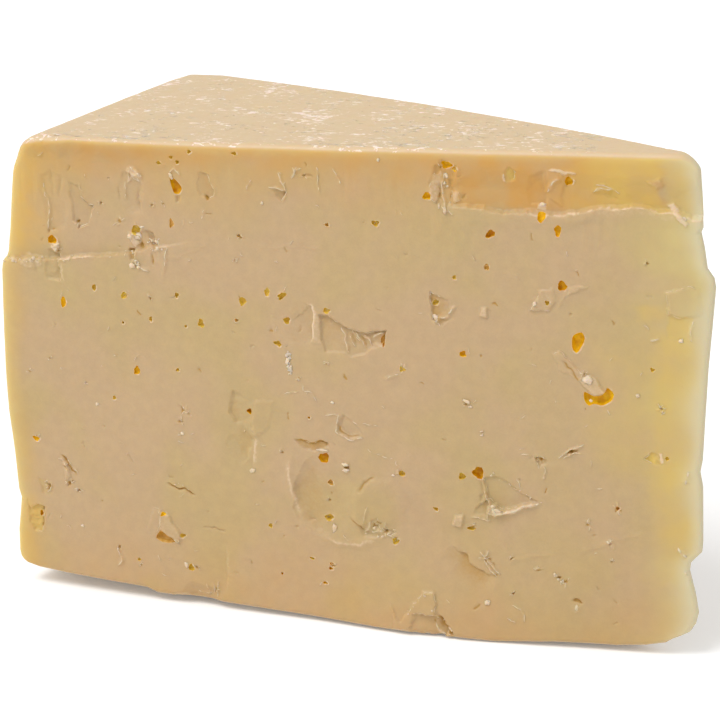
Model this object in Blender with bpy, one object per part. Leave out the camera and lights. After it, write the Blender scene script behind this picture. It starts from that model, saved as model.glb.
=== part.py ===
# A wedge of hard cheese, cut from a round wheel and full of small eyes.
# One solid, standing on its flat underside, with the tip towards +X, the side that
# was the wheel's edge towards -X and the broad knife cut towards -Y.
# Sizes are millimetres, measured across from the rind end of the front cut, up from
# the underside and deep from the front cut. The mesh itself is in metres.

import math
import random

import bmesh
import bpy
from mathutils import Matrix, Vector, noise

MM = 0.001

# The wedge.
CUT_LENGTH = 150.0          # front cut, from the rind end to the tip, at the top
WEDGE_ANGLE = math.radians(26.1)
TIP_THICKNESS = 2.4
TIP_OVERSHOOT = 0.5
TIP_PLAIN_FROM = 0.9        # the back cut runs out flat into the thin tip
HEIGHT_AT_RIND = 105.5      # front rind corner, the lowest of the three
HEIGHT_AT_BACK = 108.8
HEIGHT_AT_TIP = 110.5
CROWN = 0.6                 # the wheel's face is slightly domed
END_DROP = 1.6              # and rounds down to the front rind corner and to the tip
END_DROP_LENGTH = 5.0
EDGE_RADIUS = 1.5

# How the cuts sag, swell and wave.
FOOT_SPREAD = 4.2           # the rind end stands out this far at the foot
RIND_SWELL = 2.3            # and swells this much more at mid height
RIND_SWELL_UP = 57.0
RIND_SWELL_REACH = 38.0
RIND_LEAN = 0.045           # it leans inward above the ledge
RIND_BOW = 0.3
BELLY = 3.0                 # the front cut bows out in its lower middle
BELLY_TOP = 105.0
BELLY_FULL = 20.0
FOOT_BULGE = 2.2            # and a little more at the foot
FOOT_BULGE_ACROSS = 98.0
FOOT_BULGE_REACH = 40.0
FOOT_BULGE_UP = 26.0
BACK_BOW = 2.6
WAVE = 0.4                  # slow waves in both cuts
WAVE_LENGTH = 20.0

# Where the knife stopped and started again: a ledge from the rind end and a ridge
# near the tip, each a step back in the front cut above it.
LEDGE_UP = 76.5
LEDGE_SLOPE = 0.13          # rising towards the tip
LEDGE_STEP = 1.3
LEDGE_FADES = (20.0, 62.0)
RIDGE_UP = 96.0
RIDGE_STEP = 1.1
RIDGE_STARTS = (94.0, 108.0)
RIDGE_ARCH = 2.5
RIDGE_ARCH_ACROSS = 138.0
RIDGE_ARCH_REACH = 18.0
STEPS_END_UP = 99.0         # the steps die out from here to the top edge

# The tip's outline, from the ridge down.
TIP_FLARE = 3.6
TIP_FLARE_UP = (81.0, 92.0)
TIP_WAIST = 1.9
TIP_WAIST_UP = 48.0
TIP_WAIST_REACH = 27.0
TIP_NOTCH = 2.0
TIP_NOTCH_UP = 20.0
TIP_NOTCH_REACH = 5.0
TIP_TUCK = 1.1
TIP_TUCK_UP = (8.0, 22.0)

# How far the underside rises to the front rind corner and to the tip.
CORNER_LIFT = 4.8
CORNER_LIFT_LENGTH = 90.0
CORNER_LIFT_DEPTH = 24.0
TIP_LIFT = 1.2
TIP_LIFT_START = 118.0
TIP_CORNER_START = 140.0
TIP_CORNER_LIFT = 5.8
LEAST_LIFT = 0.05           # less than this is left flat

# The grid that the block is worked in.
CELLS_ACROSS = 44
CELLS_DEEP = 7
CELLS_UP = 30

# Places where cheese has torn away: across, up, half width, half height, depth, and
# the direction of the steep wall in degrees (0 is towards the tip, 90 is up).
FRONT_TEARS = [
    (73.0, 28.5, 11.5, 11.0, 2.2, 175.0),    # round hollow below the middle
    (77.5, 66.5, 8.5, 4.6, 1.2, 20.0),       # leaf-shaped tear in the middle
    (96.5, 72.5, 4.5, 4.5, 1.0, 230.0),      # three-cornered pit beside it
    (111.0, 32.5, 8.0, 5.0, 1.1, 200.0),     # facet near the dark eye
    (95.5, 99.5, 3.8, 6.5, 1.2, 100.0),      # patch under the top edge
    (29.5, 80.5, 4.5, 6.0, 1.3, 90.0),       # column near the rind end
    (32.0, 16.5, 5.0, 4.0, 1.3, 60.0),       # round the lower left eye
    (52.5, 45.5, 4.5, 5.5, 0.9, 200.0),
    (119.0, 40.0, 5.0, 4.5, 0.9, 45.0),
    (88.5, 6.5, 6.0, 4.5, 1.4, 250.0),       # crumbled foot, middle
    (40.0, 3.0, 6.0, 3.5, 1.6, 250.0),       # crumbled foot, left
]
BACK_TEARS = [
    (44.0, 38.0, 12.0, 9.0, 1.8, 160.0),
    (92.0, 74.0, 9.0, 6.0, 1.4, 30.0),
    (112.0, 30.0, 7.0, 8.0, 1.2, 220.0),
    (30.0, 84.0, 6.0, 5.0, 1.1, 90.0),
    (70.0, 6.0, 9.0, 4.5, 1.7, 250.0),
]

# Gas holes that open on the front cut: across, up, width, height, tilt in degrees.
FRONT_EYES = [
    (36.4, 96.4, 2.7, 3.6, 0),
    (125.6, 68.6, 3.4, 4.8, 10),
    (131.0, 57.0, 6.8, 3.8, 8),
    (32.5, 14.8, 4.8, 3.4, -15),
    (66.0, 41.0, 7.5, 2.2, -8),
    (70.4, 36.6, 2.5, 2.3, 0),
    (104.2, 37.3, 2.5, 2.7, 0),
    (92.6, 97.8, 2.3, 2.2, 0),
    (97.5, 104.0, 2.9, 2.0, 0),
    (122.6, 103.3, 2.1, 2.3, 0),
    (117.3, 95.3, 2.0, 3.2, 12),
    (121.0, 91.9, 2.0, 2.6, -10),
    (106.3, 90.6, 2.4, 2.1, 0),
    (121.9, 80.3, 2.4, 2.4, 0),
    (27.4, 86.7, 2.7, 2.6, 0),
    (6.8, 82.4, 2.5, 2.3, 0),
    (41.6, 65.8, 2.1, 2.4, 0),
    (60.1, 73.6, 2.4, 2.1, 0),
    (59.1, 62.2, 2.2, 2.0, 0),
    (9.4, 67.8, 2.0, 2.5, 0),
    (83.0, 65.4, 2.0, 2.5, 0),
]
EYES_BEHIND = 16
EYE_WIDTHS_BEHIND = (2.0, 4.2)
EYE_SINK = 0.3              # its centre lies this share of the eye's width deep
EYE_UNEVENNESS = 0.22
SEED = 11
WELD_DISTANCE = 0.02

CHEESE_COLOUR = (0.565, 0.402, 0.223, 1.0)
CHEESE_ROUGHNESS = 0.45


def ramp(value, start, end):
    """Smooth step from 0 at start to 1 at end."""
    share = min(max((value - start) / (end - start), 0.0), 1.0)
    return share * share * (3.0 - 2.0 * share)


def bump(value, centre, half_width):
    """Smooth hump, 1 at the centre and 0 beyond the half width."""
    share = min(abs(value - centre) / half_width, 1.0)
    return math.cos(0.5 * math.pi * share) ** 2


def wave(across, up, layer):
    """Slow, shallow waves of a cut."""
    return WAVE * noise.noise(Vector((across / WAVE_LENGTH, up / WAVE_LENGTH, layer)))


def steps(across, up):
    """How far the front cut steps back above the knife's ledge and ridge."""
    ledge_up = LEDGE_UP + LEDGE_SLOPE * across
    ledge = LEDGE_STEP * ramp(up, ledge_up - 1.0, ledge_up + 1.0) * (1.0 - ramp(across, *LEDGE_FADES))
    ridge_up = RIDGE_UP + RIDGE_ARCH * bump(across, RIDGE_ARCH_ACROSS, RIDGE_ARCH_REACH)
    ridge = RIDGE_STEP * ramp(up, ridge_up - 1.0, ridge_up + 1.5) * ramp(across, *RIDGE_STARTS)
    return (ledge + ridge) * (1.0 - ramp(up, STEPS_END_UP, HEIGHT_AT_RIND))


def tear(across, up, place):
    """Depth of one torn hollow at a point of a cut."""
    centre_across, centre_up, half_width, half_height, depth, steep = place
    aside = (across - centre_across) / half_width
    above = (up - centre_up) / half_height
    reach = math.hypot(aside, above)
    if reach >= 1.0:
        return 0.0
    toward_wall = aside * math.cos(math.radians(steep)) + above * math.sin(math.radians(steep))
    sharpness = 4.0 if toward_wall > 0.0 else 1.6
    return depth * (1.0 - reach ** sharpness) * (0.75 + 0.25 * toward_wall)


def rind_end(up):
    """Where the front cut ends at the rind side: it leans, steps and swells."""
    swollen = -FOOT_SPREAD - RIND_SWELL * bump(up, RIND_SWELL_UP, RIND_SWELL_REACH)
    above_ledge = 0.7 * LEDGE_STEP * ramp(up, LEDGE_UP - 2.0, LEDGE_UP + 2.0)
    return swollen + above_ledge + RIND_LEAN * max(0.0, up - LEDGE_UP)


def tip_end(up):
    """Where the front cut ends at the tip: it flares below the ridge and is chipped."""
    flare = TIP_FLARE * (1.0 - ramp(up, *TIP_FLARE_UP))
    waist = TIP_WAIST * bump(up, TIP_WAIST_UP, TIP_WAIST_REACH)
    tuck = TIP_TUCK * (1.0 - ramp(up, *TIP_TUCK_UP))
    notch = TIP_NOTCH * bump(up, TIP_NOTCH_UP, TIP_NOTCH_REACH)
    return CUT_LENGTH + TIP_OVERSHOOT + flare - waist - tuck - notch


def front_relief(across, up):
    """How far the front cut lies behind its plane."""
    middle = math.sin(math.pi * min(max(across / CUT_LENGTH, 0.0), 1.0))
    belly = BELLY * middle * (1.0 - ramp(up, BELLY_FULL, BELLY_TOP))
    foot = FOOT_BULGE * bump(across, FOOT_BULGE_ACROSS, FOOT_BULGE_REACH)
    foot *= 1.0 - ramp(up, 0.0, FOOT_BULGE_UP)
    torn = max(tear(across, up, place) for place in FRONT_TEARS)
    return steps(across, up) + torn - belly - foot + wave(across, up, 3.0)


def back_relief(across, up):
    """How far the back cut lies inside its plane."""
    middle = math.sin(math.pi * min(max(across / CUT_LENGTH, 0.0), 1.0))
    torn = max(tear(across, up, place) for place in BACK_TEARS)
    return torn - BACK_BOW * middle + wave(across, up, 9.0)


def front_point(along, up):
    """Plan position on the front cut, by the share of the way to the tip."""
    across = rind_end(up) + along * (tip_end(up) - rind_end(up))
    return Vector((across, front_relief(across, up)))


def back_point(along, up):
    """Plan position on the back cut, by the share of the way to the tip."""
    inward = Vector((-math.sin(WEDGE_ANGLE), -math.cos(WEDGE_ANGLE)))
    from_tip = Vector((-math.cos(WEDGE_ANGLE), math.sin(WEDGE_ANGLE)))
    rind_corner = Vector((CUT_LENGTH, 0.0)) + CUT_LENGTH * from_tip
    rind_corner.x += 0.5 * rind_end(up)
    tip_corner = Vector((tip_end(up), TIP_THICKNESS))
    relief = back_relief(along * CUT_LENGTH, up) * (1.0 - ramp(along, TIP_PLAIN_FROM, 1.0))
    return rind_corner.lerp(tip_corner, along) + relief * inward


def wedge_depth(along):
    """Distance between the two cuts, by the share of the way to the tip."""
    widest = CUT_LENGTH * math.sin(WEDGE_ANGLE)
    return widest + along * (TIP_THICKNESS - widest)


def top_height(along, back):
    """Height of the wheel's face, by the shares to the tip and to the back."""
    front_edge = HEIGHT_AT_RIND + (HEIGHT_AT_TIP - HEIGHT_AT_RIND) * along ** 1.4
    back_edge = HEIGHT_AT_BACK + (HEIGHT_AT_TIP - HEIGHT_AT_BACK) * along
    back_edge += CROWN * math.sin(math.pi * along)
    from_end = min(along, 1.0 - along) * CUT_LENGTH
    drop = END_DROP * max(0.0, 1.0 - from_end / END_DROP_LENGTH) ** 2
    if along < 0.5:
        drop *= (1.0 - back) ** 6
    return front_edge + (back_edge - front_edge) * back - drop


def underside_lift(across, deep):
    """Gap under the chunk, which stands flat but for the rind corner and the tip."""
    from_corner = max(0.0, 1.0 - (across + FOOT_SPREAD) / CORNER_LIFT_LENGTH)
    corner = CORNER_LIFT * from_corner ** 2 * (1.0 - ramp(deep, 0.0, CORNER_LIFT_DEPTH))
    tip = TIP_LIFT * ramp(across, TIP_LIFT_START, TIP_CORNER_START)
    past = max(0.0, across - TIP_CORNER_START) / (CUT_LENGTH - TIP_CORNER_START)
    lift = corner + tip + TIP_CORNER_LIFT * past ** 2
    return lift if lift > LEAST_LIFT else 0.0


def rounded(place, size, radius):
    """Moves a point on a box's surface onto the same box with rounded edges."""
    inner = Vector([min(max(value, radius), whole - radius) for value, whole in zip(place, size)])
    outward = place - inner
    return inner + outward.normalized() * radius


def wedge_point(along, back, high):
    """A point of the wedge, by its shares to the tip, to the back and to the top."""
    lift = underside_lift(along * CUT_LENGTH, back * wedge_depth(along))
    up = lift + high * (top_height(along, back) - lift)
    plan = front_point(along, up).lerp(back_point(along, up), back)
    plan.x -= RIND_BOW * math.sin(math.pi * back) * (1.0 - along) ** 8
    return Vector((plan.x, plan.y, up))


def station(index, count, length, radius):
    """Place of a grid line: one lies a radius in from each end, the rest evenly."""
    if index == 0:
        return 0.0
    if index == count:
        return length
    return radius + (length - 2.0 * radius) * (index - 1) / (count - 2)


def grid_place(corner):
    """Moves a vertex of the evenly divided unit cube onto the rounded wedge."""
    across = station(round(corner.x * CELLS_ACROSS), CELLS_ACROSS, CUT_LENGTH, EDGE_RADIUS)
    depth = wedge_depth(across / CUT_LENGTH)
    radius = min(EDGE_RADIUS, 0.45 * depth)
    deep = station(round(corner.y * CELLS_DEEP), CELLS_DEEP, depth, radius)
    up = station(round(corner.z * CELLS_UP), CELLS_UP, HEIGHT_AT_RIND, EDGE_RADIUS)
    size = (CUT_LENGTH, depth, HEIGHT_AT_RIND)
    place = rounded(Vector((across, deep, up)), size, radius)
    return wedge_point(*(value / whole for value, whole in zip(place, size)))


def divided_cube():
    """Unit cube whose edges are divided into the grid's cells."""
    mesh = bmesh.new()
    bmesh.ops.create_cube(mesh, size=1.0, matrix=Matrix.Translation((0.5, 0.5, 0.5)))
    for axis, cells in enumerate((CELLS_ACROSS, CELLS_DEEP, CELLS_UP)):
        along_axis = [edge for edge in mesh.edges
                      if abs(edge.verts[0].co[axis] - edge.verts[1].co[axis]) > 0.5]
        bmesh.ops.subdivide_edges(mesh, edges=along_axis, cuts=cells - 1, use_grid_fill=True)
    return mesh


def cheese_block():
    """The wedge without its eyes."""
    mesh = divided_cube()
    for vertex in mesh.verts:
        vertex.co = grid_place(vertex.co) * MM
    level = [face for face in mesh.faces if all(vertex.co.z == 0.0 for vertex in face.verts)]
    bmesh.ops.dissolve_faces(mesh, faces=level)
    return mesh


def add_eye(mesh, centre, width, height, tilt, chance):
    """Adds one uneven gas hole to the cutter mesh."""
    size = Vector((width, 0.9 * min(width, height) + 0.4, height)) * 0.5
    turn = Matrix.Rotation(math.radians(-tilt), 3, "Y")
    layer = Vector((chance.uniform(0.0, 90.0), 0.0, 0.0))
    ball = bmesh.ops.create_icosphere(mesh, subdivisions=2, radius=1.0)
    for vertex in ball["verts"]:
        lump = 1.0 + EYE_UNEVENNESS * noise.noise(vertex.co * 1.3 + layer)
        vertex.co = (centre + turn @ (vertex.co * lump * size)) * MM


def eye_shapes():
    """All the gas holes, as the shapes to be cut out of the block."""
    chance = random.Random(SEED)
    mesh = bmesh.new()
    for across, up, width, height, tilt in FRONT_EYES:
        deep = front_relief(across, up) + EYE_SINK * min(width, height)
        add_eye(mesh, Vector((across, deep, up)), width, height, tilt, chance)
    for number in range(EYES_BEHIND):
        along = (number + chance.uniform(0.2, 0.8)) / EYES_BEHIND * 0.82 + 0.04
        up = chance.uniform(12.0, 96.0)
        width = chance.uniform(*EYE_WIDTHS_BEHIND)
        height = width * chance.uniform(0.8, 1.3)
        plan = back_point(along, up)
        inward = Vector((-math.sin(WEDGE_ANGLE), -math.cos(WEDGE_ANGLE))) * EYE_SINK * width
        centre = Vector((plan.x + inward.x, plan.y + inward.y, up))
        add_eye(mesh, centre, width, height, chance.uniform(-25.0, 25.0), chance)
    return mesh


def cheese_material():
    """Pale yellow cheese, slightly waxy."""
    material = bpy.data.materials.new("cheese")
    material.use_nodes = True
    shader = material.node_tree.nodes["Principled BSDF"]
    shader.inputs["Base Color"].default_value = CHEESE_COLOUR
    shader.inputs["Roughness"].default_value = CHEESE_ROUGHNESS
    shader.inputs["Metallic"].default_value = 0.0
    return material


def centre_over_origin(meshes, model):
    """Puts the middle of the model's box over the origin, its underside at zero."""
    low = Vector([min(vertex.co[axis] for vertex in model.verts) for axis in range(3)])
    high = Vector([max(vertex.co[axis] for vertex in model.verts) for axis in range(3)])
    middle = Vector(((low.x + high.x) / 2, (low.y + high.y) / 2, low.z))
    for mesh in meshes:
        bmesh.ops.translate(mesh, verts=mesh.verts, vec=-middle)


def new_object(name, mesh, collection):
    """Turns a bmesh into an object in a collection."""
    data = bpy.data.meshes.new(name)
    mesh.to_mesh(data)
    mesh.free()
    made = bpy.data.objects.new(name, data)
    collection.objects.link(made)
    return made


def new_collection(name):
    collection = bpy.data.collections.new(name)
    bpy.context.scene.collection.children.link(collection)
    return collection


def build():
    for leftover in list(bpy.data.objects):
        bpy.data.objects.remove(leftover)
    block = cheese_block()
    eyes = eye_shapes()
    centre_over_origin([block, eyes], block)
    chunk = new_object("cheese_chunk", block, new_collection("hard_cheese_chunk"))
    cutter = new_object("eye_cutter", eyes, new_collection("cutters"))
    cutter.hide_render = True
    cutter.display_type = "WIRE"
    cut = chunk.modifiers.new("eyes", "BOOLEAN")
    cut.operation = "DIFFERENCE"
    cut.object = cutter
    weld = chunk.modifiers.new("no slivers", "WELD")
    weld.merge_threshold = WELD_DISTANCE * MM
    chunk.data.materials.append(cheese_material())
    chunk.data.shade_smooth()
    chunk.data.set_sharp_from_angle(angle=math.radians(35.0))


build()
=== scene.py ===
import math
import random

import bmesh
import bpy
import numpy as np
from mathutils import Matrix, Vector, noise
from mathutils.bvhtree import BVHTree


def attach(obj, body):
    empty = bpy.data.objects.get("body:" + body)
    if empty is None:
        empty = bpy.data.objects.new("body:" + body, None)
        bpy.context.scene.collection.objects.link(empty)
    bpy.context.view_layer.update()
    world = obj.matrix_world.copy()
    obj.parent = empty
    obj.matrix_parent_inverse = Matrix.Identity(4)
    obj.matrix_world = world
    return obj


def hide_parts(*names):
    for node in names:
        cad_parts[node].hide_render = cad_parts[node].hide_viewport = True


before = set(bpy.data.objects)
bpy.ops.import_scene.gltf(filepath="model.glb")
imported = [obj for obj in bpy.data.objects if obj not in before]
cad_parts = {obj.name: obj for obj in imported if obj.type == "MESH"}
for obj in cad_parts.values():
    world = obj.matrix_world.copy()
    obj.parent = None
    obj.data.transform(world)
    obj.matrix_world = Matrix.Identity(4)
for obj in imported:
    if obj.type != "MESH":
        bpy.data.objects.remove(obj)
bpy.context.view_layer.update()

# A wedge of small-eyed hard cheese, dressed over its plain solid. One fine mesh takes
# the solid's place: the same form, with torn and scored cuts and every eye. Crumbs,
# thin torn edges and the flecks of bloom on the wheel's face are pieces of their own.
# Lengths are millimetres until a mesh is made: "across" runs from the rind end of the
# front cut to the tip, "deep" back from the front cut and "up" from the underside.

mm = 0.001
seed = 11

wedge = {
    "cutLength": 150.0,
    "angle": math.radians(26.1),
    "tipThickness": 2.4,
    "heightAtRind": 105.5,
    "heightAtBack": 108.8,
    "heightAtTip": 110.5,
    "crown": 0.6,
    "edgeRadius": 1.3,
    "rimRadius": 1.8,          # added where the wheel's rim meets its faces
    "cornerRadius": 2.6,       # and where it meets the back cut
    "belly": 3.0,
    "bellyUp": (20.0, 105.0),
    "footBulge": 2.2,
    "footBulgeAcross": 98.0,
    "footBulgeReach": 40.0,
    "footBulgeUp": 26.0,
    "backBow": 2.6,
    "rindBow": 0.3,
    "wave": 0.4,
    "waveLength": 20.0,
    "middleAcross": 74.0,      # these two lie over the part's origin
    "middleDeep": 30.24,
    "cells": (96, 9, 68),      # across, deep, up, before subdivision
    "subdivisions": 3,
    "frontTriangles": 122000,  # the rest of the wedge shares the others
    "mostTriangles": 194000,
}

# Outlines of the front cut, as (up, across) at its two ends and (across, up) below.
rindOutline = [(0, -2.6), (4, -3.6), (8, -4.4), (13, -4.3), (21, -3.3), (23, -3.9), (32, -4.6), (42, -5.7),
               (51, -6.1), (60, -6.1), (72, -5.9), (74.5, -5.9), (76, -5.7), (78.5, -4.8), (84, -4.1),
               (93, -3.3), (98, -2.8), (101, -2.2), (103.5, -1.2), (106, 0.4)]
tipOutline = [(0, 148.6), (4, 149.7), (6, 151.6), (8, 152.7), (10.5, 153.2), (15, 152.3), (20, 150.9),
              (21.8, 151.1), (24.5, 153.4), (27, 153.5), (39, 153.0), (42.3, 152.3), (45, 152.7),
              (56, 152.9), (65, 153.1), (74, 153.6), (82.6, 154.0), (84.6, 153.6), (86.6, 152.1),
              (91, 151.3), (94.2, 150.5), (95.2, 150.9), (103, 150.3), (107.5, 149.9), (110.5, 149.0)]
footOutline = [(0, 5.9), (1.6, 4.6), (4, 3.9), (11, 3.3), (27, 2.8), (30.5, 2.6), (33, 1.7), (48, 1.5),
               (62, 1.1), (84, 0.5), (98, 0.5), (111, 0.1), (124, 1.0), (137, 1.2), (143, 1.9), (147, 2.9),
               (150, 5.6)]
ledgeLine = [(-7, 77.0), (-1.4, 77.5), (1.5, 78.1), (8.6, 78.2), (13, 78.9), (20.3, 79.9), (27, 81.3),
             (33.8, 82.8), (39.3, 84.6), (62, 88.0)]
ridgeLine = [(92, 96.6), (98.7, 96.2), (108, 96.0), (121, 96.3), (129.4, 98.0), (137.7, 98.9),
             (148, 97.7), (156, 96.4)]


def ramp(value, start, end):
    share = np.clip((value - start) / (end - start), 0.0, 1.0)
    return share * share * (3.0 - 2.0 * share)


def hump(value, centre, halfWidth):
    share = np.clip(np.abs(value - centre) / halfWidth, 0.0, 1.0)
    return np.cos(0.5 * np.pi * share) ** 2


def followed(value, outline):
    return np.interp(value, [point[0] for point in outline], [point[1] for point in outline])


def softNoise(across, up, cell, layer):
    # smooth bumps about one cell wide, from -1 to 1
    size = 256
    lattice = np.random.default_rng(seed + layer).uniform(-1.0, 1.0, (size, size))
    x = np.asarray(across) / cell + 97.3
    y = np.asarray(up) / cell + 51.7
    column = np.floor(x).astype(int)
    row = np.floor(y).astype(int)
    aside = x - column
    above = y - row
    aside = aside * aside * (3.0 - 2.0 * aside)
    above = above * above * (3.0 - 2.0 * above)
    left, right = column % size, (column + 1) % size
    low, high = row % size, (row + 1) % size
    under = lattice[low, left] * (1.0 - aside) + lattice[low, right] * aside
    over = lattice[high, left] * (1.0 - aside) + lattice[high, right] * aside
    return under * (1.0 - above) + over * above


def roughNoise(across, up, cell, layer, octaves=3):
    total = 0.0
    for octave in range(octaves):
        total = total + softNoise(across, up, cell / 2 ** octave, layer + 7 * octave) / 1.8 ** octave
    return total / 1.8


# A relief sheet is a grid over one side: the depth below it, how pale and torn it is, and how much brown painted shade
# lies in its slits, grooves and hollows.
sheetStep = 0.2


def newSheet(left, right, low, high, layer):
    across, up = np.meshgrid(np.arange(left, right, sheetStep), np.arange(low, high, sheetStep))
    sheet = {"left": left, "low": low, "layer": layer, "plainAcross": across, "plainUp": up}
    # marks are drawn in slightly warped coordinates, so that no edge runs clean
    sheet["across"], sheet["up"] = across, up
    for cell, amount in ((3.4, 0.5), (1.3, 0.22), (0.6, 0.16)):
        sheet["across"] = sheet["across"] + amount * softNoise(across, up, cell, layer)
        sheet["up"] = sheet["up"] + amount * softNoise(across, up, cell, layer + 1)
        layer += 2
    broken = softNoise(across, up, 0.9, layer) + 0.5 * softNoise(across, up, 2.6, layer + 1)
    sheet["broken"] = ramp(broken, -0.45, 0.35)
    for name in ("depth", "pale", "warm", "gold", "torn"):
        sheet[name] = np.zeros_like(across)
    sheet["edges"] = []      # lines that also carry a thin torn edge of their own
    return sheet


def areaAround(sheet, points, margin):
    rows, columns = sheet["depth"].shape
    points = np.asarray(points, float)
    low = points.min(axis=0) - margin
    high = points.max(axis=0) + margin
    left = int(np.clip((low[0] - sheet["left"]) / sheetStep, 0, columns - 1))
    right = int(np.clip((high[0] - sheet["left"]) / sheetStep + 1, left + 1, columns))
    bottom = int(np.clip((low[1] - sheet["low"]) / sheetStep, 0, rows - 1))
    top = int(np.clip((high[1] - sheet["low"]) / sheetStep + 1, bottom + 1, rows))
    return slice(bottom, top), slice(left, right)


def between(values, x, y):
    # what a grid says between its points
    x = np.clip(x, 0, values.shape[1] - 1.001)
    y = np.clip(y, 0, values.shape[0] - 1.001)
    column, row = x.astype(int), y.astype(int)
    aside, above = x - column, y - row
    under = values[row, column] * (1.0 - aside) + values[row, column + 1] * aside
    over = values[row + 1, column] * (1.0 - aside) + values[row + 1, column + 1] * aside
    return under * (1.0 - above) + over * above


def sampled(sheet, name, across, up):
    return between(sheet[name], (across - sheet["left"]) / sheetStep, (up - sheet["low"]) / sheetStep)


def lineField(across, up, points):
    # distance from a line, the share of the way along it, and the side (1 is left of it)
    steps = [math.dist(a, b) for a, b in zip(points, points[1:])]
    whole = sum(steps)
    nearest = np.full(across.shape, 1e9)
    share = np.zeros(across.shape)
    side = np.ones(across.shape)
    run = 0.0
    for (fromAcross, fromUp), (toAcross, toUp), step in zip(points, points[1:], steps):
        alongAcross, alongUp = (toAcross - fromAcross) / step, (toUp - fromUp) / step
        run0 = (across - fromAcross) * alongAcross + (up - fromUp) * alongUp
        place = np.clip(run0, 0.0, step)
        away = np.hypot(across - fromAcross - place * alongAcross, up - fromUp - place * alongUp)
        turn = alongAcross * (up - fromUp) - alongUp * (across - fromAcross)
        closer = away < nearest
        nearest = np.where(closer, away, nearest)
        share = np.where(closer, (run + place) / whole, share)
        side = np.where(closer, np.sign(turn), side)
        run += step
    return nearest, share, side


def insideField(across, up, outline):
    # distance from a closed outline, positive inside it
    closed = outline + outline[:1]
    nearest, share, side = lineField(across, up, closed)
    inside = np.zeros(across.shape, bool)
    for (a0, u0), (a1, u1) in zip(closed, closed[1:]):
        if u0 != u1:
            crosses = (u0 > up) != (u1 > up)
            inside ^= crosses & (across < (a1 - a0) * (up - u0) / (u1 - u0) + a0)
    return np.where(inside, nearest, -nearest)


def mark(sheet, area, name, amount):
    sheet[name][area] = np.maximum(sheet[name][area], amount)


def score(sheet, points, width, depth, pale=0.0, warm=0.0):
    # a groove, or with a negative depth a lip, that fades at both ends
    area = areaAround(sheet, points, 3.0 * width)
    away, share, side = lineField(sheet["across"][area], sheet["up"][area], points)
    taper = np.clip(6.0 * share * (1.0 - share) + 0.15, 0.0, 1.0)
    trace = np.exp(-(away / width) ** 2) * taper
    sheet["depth"][area] += depth * trace
    mark(sheet, area, "pale", 0.6 * pale * trace)
    # grooves get brown painted shade along them
    mark(sheet, area, "warm", warm * trace)
    if depth < 0.0 and pale > 0.4:
        sheet["edges"].append((points, width))


def peel(sheet, points, drop, reach, crisp=0.4, pale=0.0, warm=0.0):
    # the cut drops to the left of the line and comes back over the reach
    area = areaAround(sheet, points, 2.5 * reach)
    away, share, side = lineField(sheet["across"][area], sheet["up"][area], points)
    taper = np.clip(5.0 * share * (1.0 - share), 0.0, 1.0)
    signed = away * side
    below = ramp(signed, -0.5 * crisp, 0.5 * crisp) * np.exp(-(away / reach) ** 1.5) * taper
    sheet["depth"][area] += drop * below
    # brown painted shade on the low side of the step
    mark(sheet, area, "warm", warm * below)
    mark(sheet, area, "pale", pale * taper * np.exp(-((signed + 0.25) / 0.35) ** 2))


def middleOf(outline):
    across, up = zip(*outline)
    return sum(across) / len(outline), sum(up) / len(outline)


def facet(sheet, outline, depth, toward=0.0, slope=0.0, edge=0.5, pale=0.0, warm=0.0, gold=0.0,
          torn=0.0, lip=0.0):
    # a patch that is sunk, or with a negative depth raised, and deeper toward one side (degrees)
    area = areaAround(sheet, outline, edge + 1.5)
    across, up = sheet["across"][area], sheet["up"][area]
    middleAcross, middleUp = middleOf(outline)
    span = max(math.dist(point, (middleAcross, middleUp)) for point in outline)
    turn = math.radians(toward)
    lean = ((across - middleAcross) * math.cos(turn) + (up - middleUp) * math.sin(turn)) / span
    inside = insideField(across, up, outline)
    within = ramp(inside, -0.5 * edge, 0.5 * edge)
    sheet["depth"][area] += depth * np.clip(1.0 + slope * lean, 0.0, 2.0) * within
    mark(sheet, area, "pale", pale * within)
    # brown painted shade, stronger toward the deeper side
    mark(sheet, area, "warm", warm * within * np.clip(0.6 + 0.6 * slope * lean, 0.0, 1.0))
    mark(sheet, area, "gold", gold * within * np.clip(1.0 + slope * lean, 0.0, 1.0))
    mark(sheet, area, "torn", torn * within)
    if lip:
        # the thin raised edge that tearing leaves, whole in some places and gone in others
        trace = np.exp(-((inside + 0.15) / 0.28) ** 2) * sheet["broken"][area] * lip * ramp(lean, -0.5, 0.5)
        sheet["depth"][area] -= 0.25 * trace
        mark(sheet, area, "pale", 0.5 * trace)
        for (a0, u0), (a1, u1) in zip(outline, outline[1:] + outline[:1]):
            aside = (0.5 * (a0 + a1) - middleAcross) * math.cos(turn)
            aside += (0.5 * (u0 + u1) - middleUp) * math.sin(turn)
            if aside > 0.0:
                sheet["edges"].append(([(a0, u0), (a1, u1)], 0.3 * lip))


def nick(sheet, place, chance):
    # a small torn spot: a few pale rays round one or two slits darkened with painted shade
    across, up, size = place
    for number in range(chance.randint(3, 5)):
        heading = chance.uniform(0.0, 2.0 * math.pi)
        bend = chance.uniform(-0.9, 0.9)
        points = []
        for reach in (0.12, 0.4, chance.uniform(0.55, 0.85)):
            turn = heading + bend * reach
            points.append((across + size * reach * math.cos(turn), up + size * reach * math.sin(turn)))
        score(sheet, points, chance.uniform(0.15, 0.22), -0.2, pale=chance.uniform(0.55, 1.0))
    for number in range(chance.randint(1, 2)):
        heading = chance.uniform(0.0, 2.0 * math.pi)
        aside, above = 0.3 * size * math.cos(heading), 0.3 * size * math.sin(heading)
        nudge = chance.uniform(-0.15, 0.15) * size
        points = [(across - aside + nudge, up - above), (across + aside + nudge, up + above)]
        score(sheet, points, 0.22, 0.3, warm=1.0)


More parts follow.
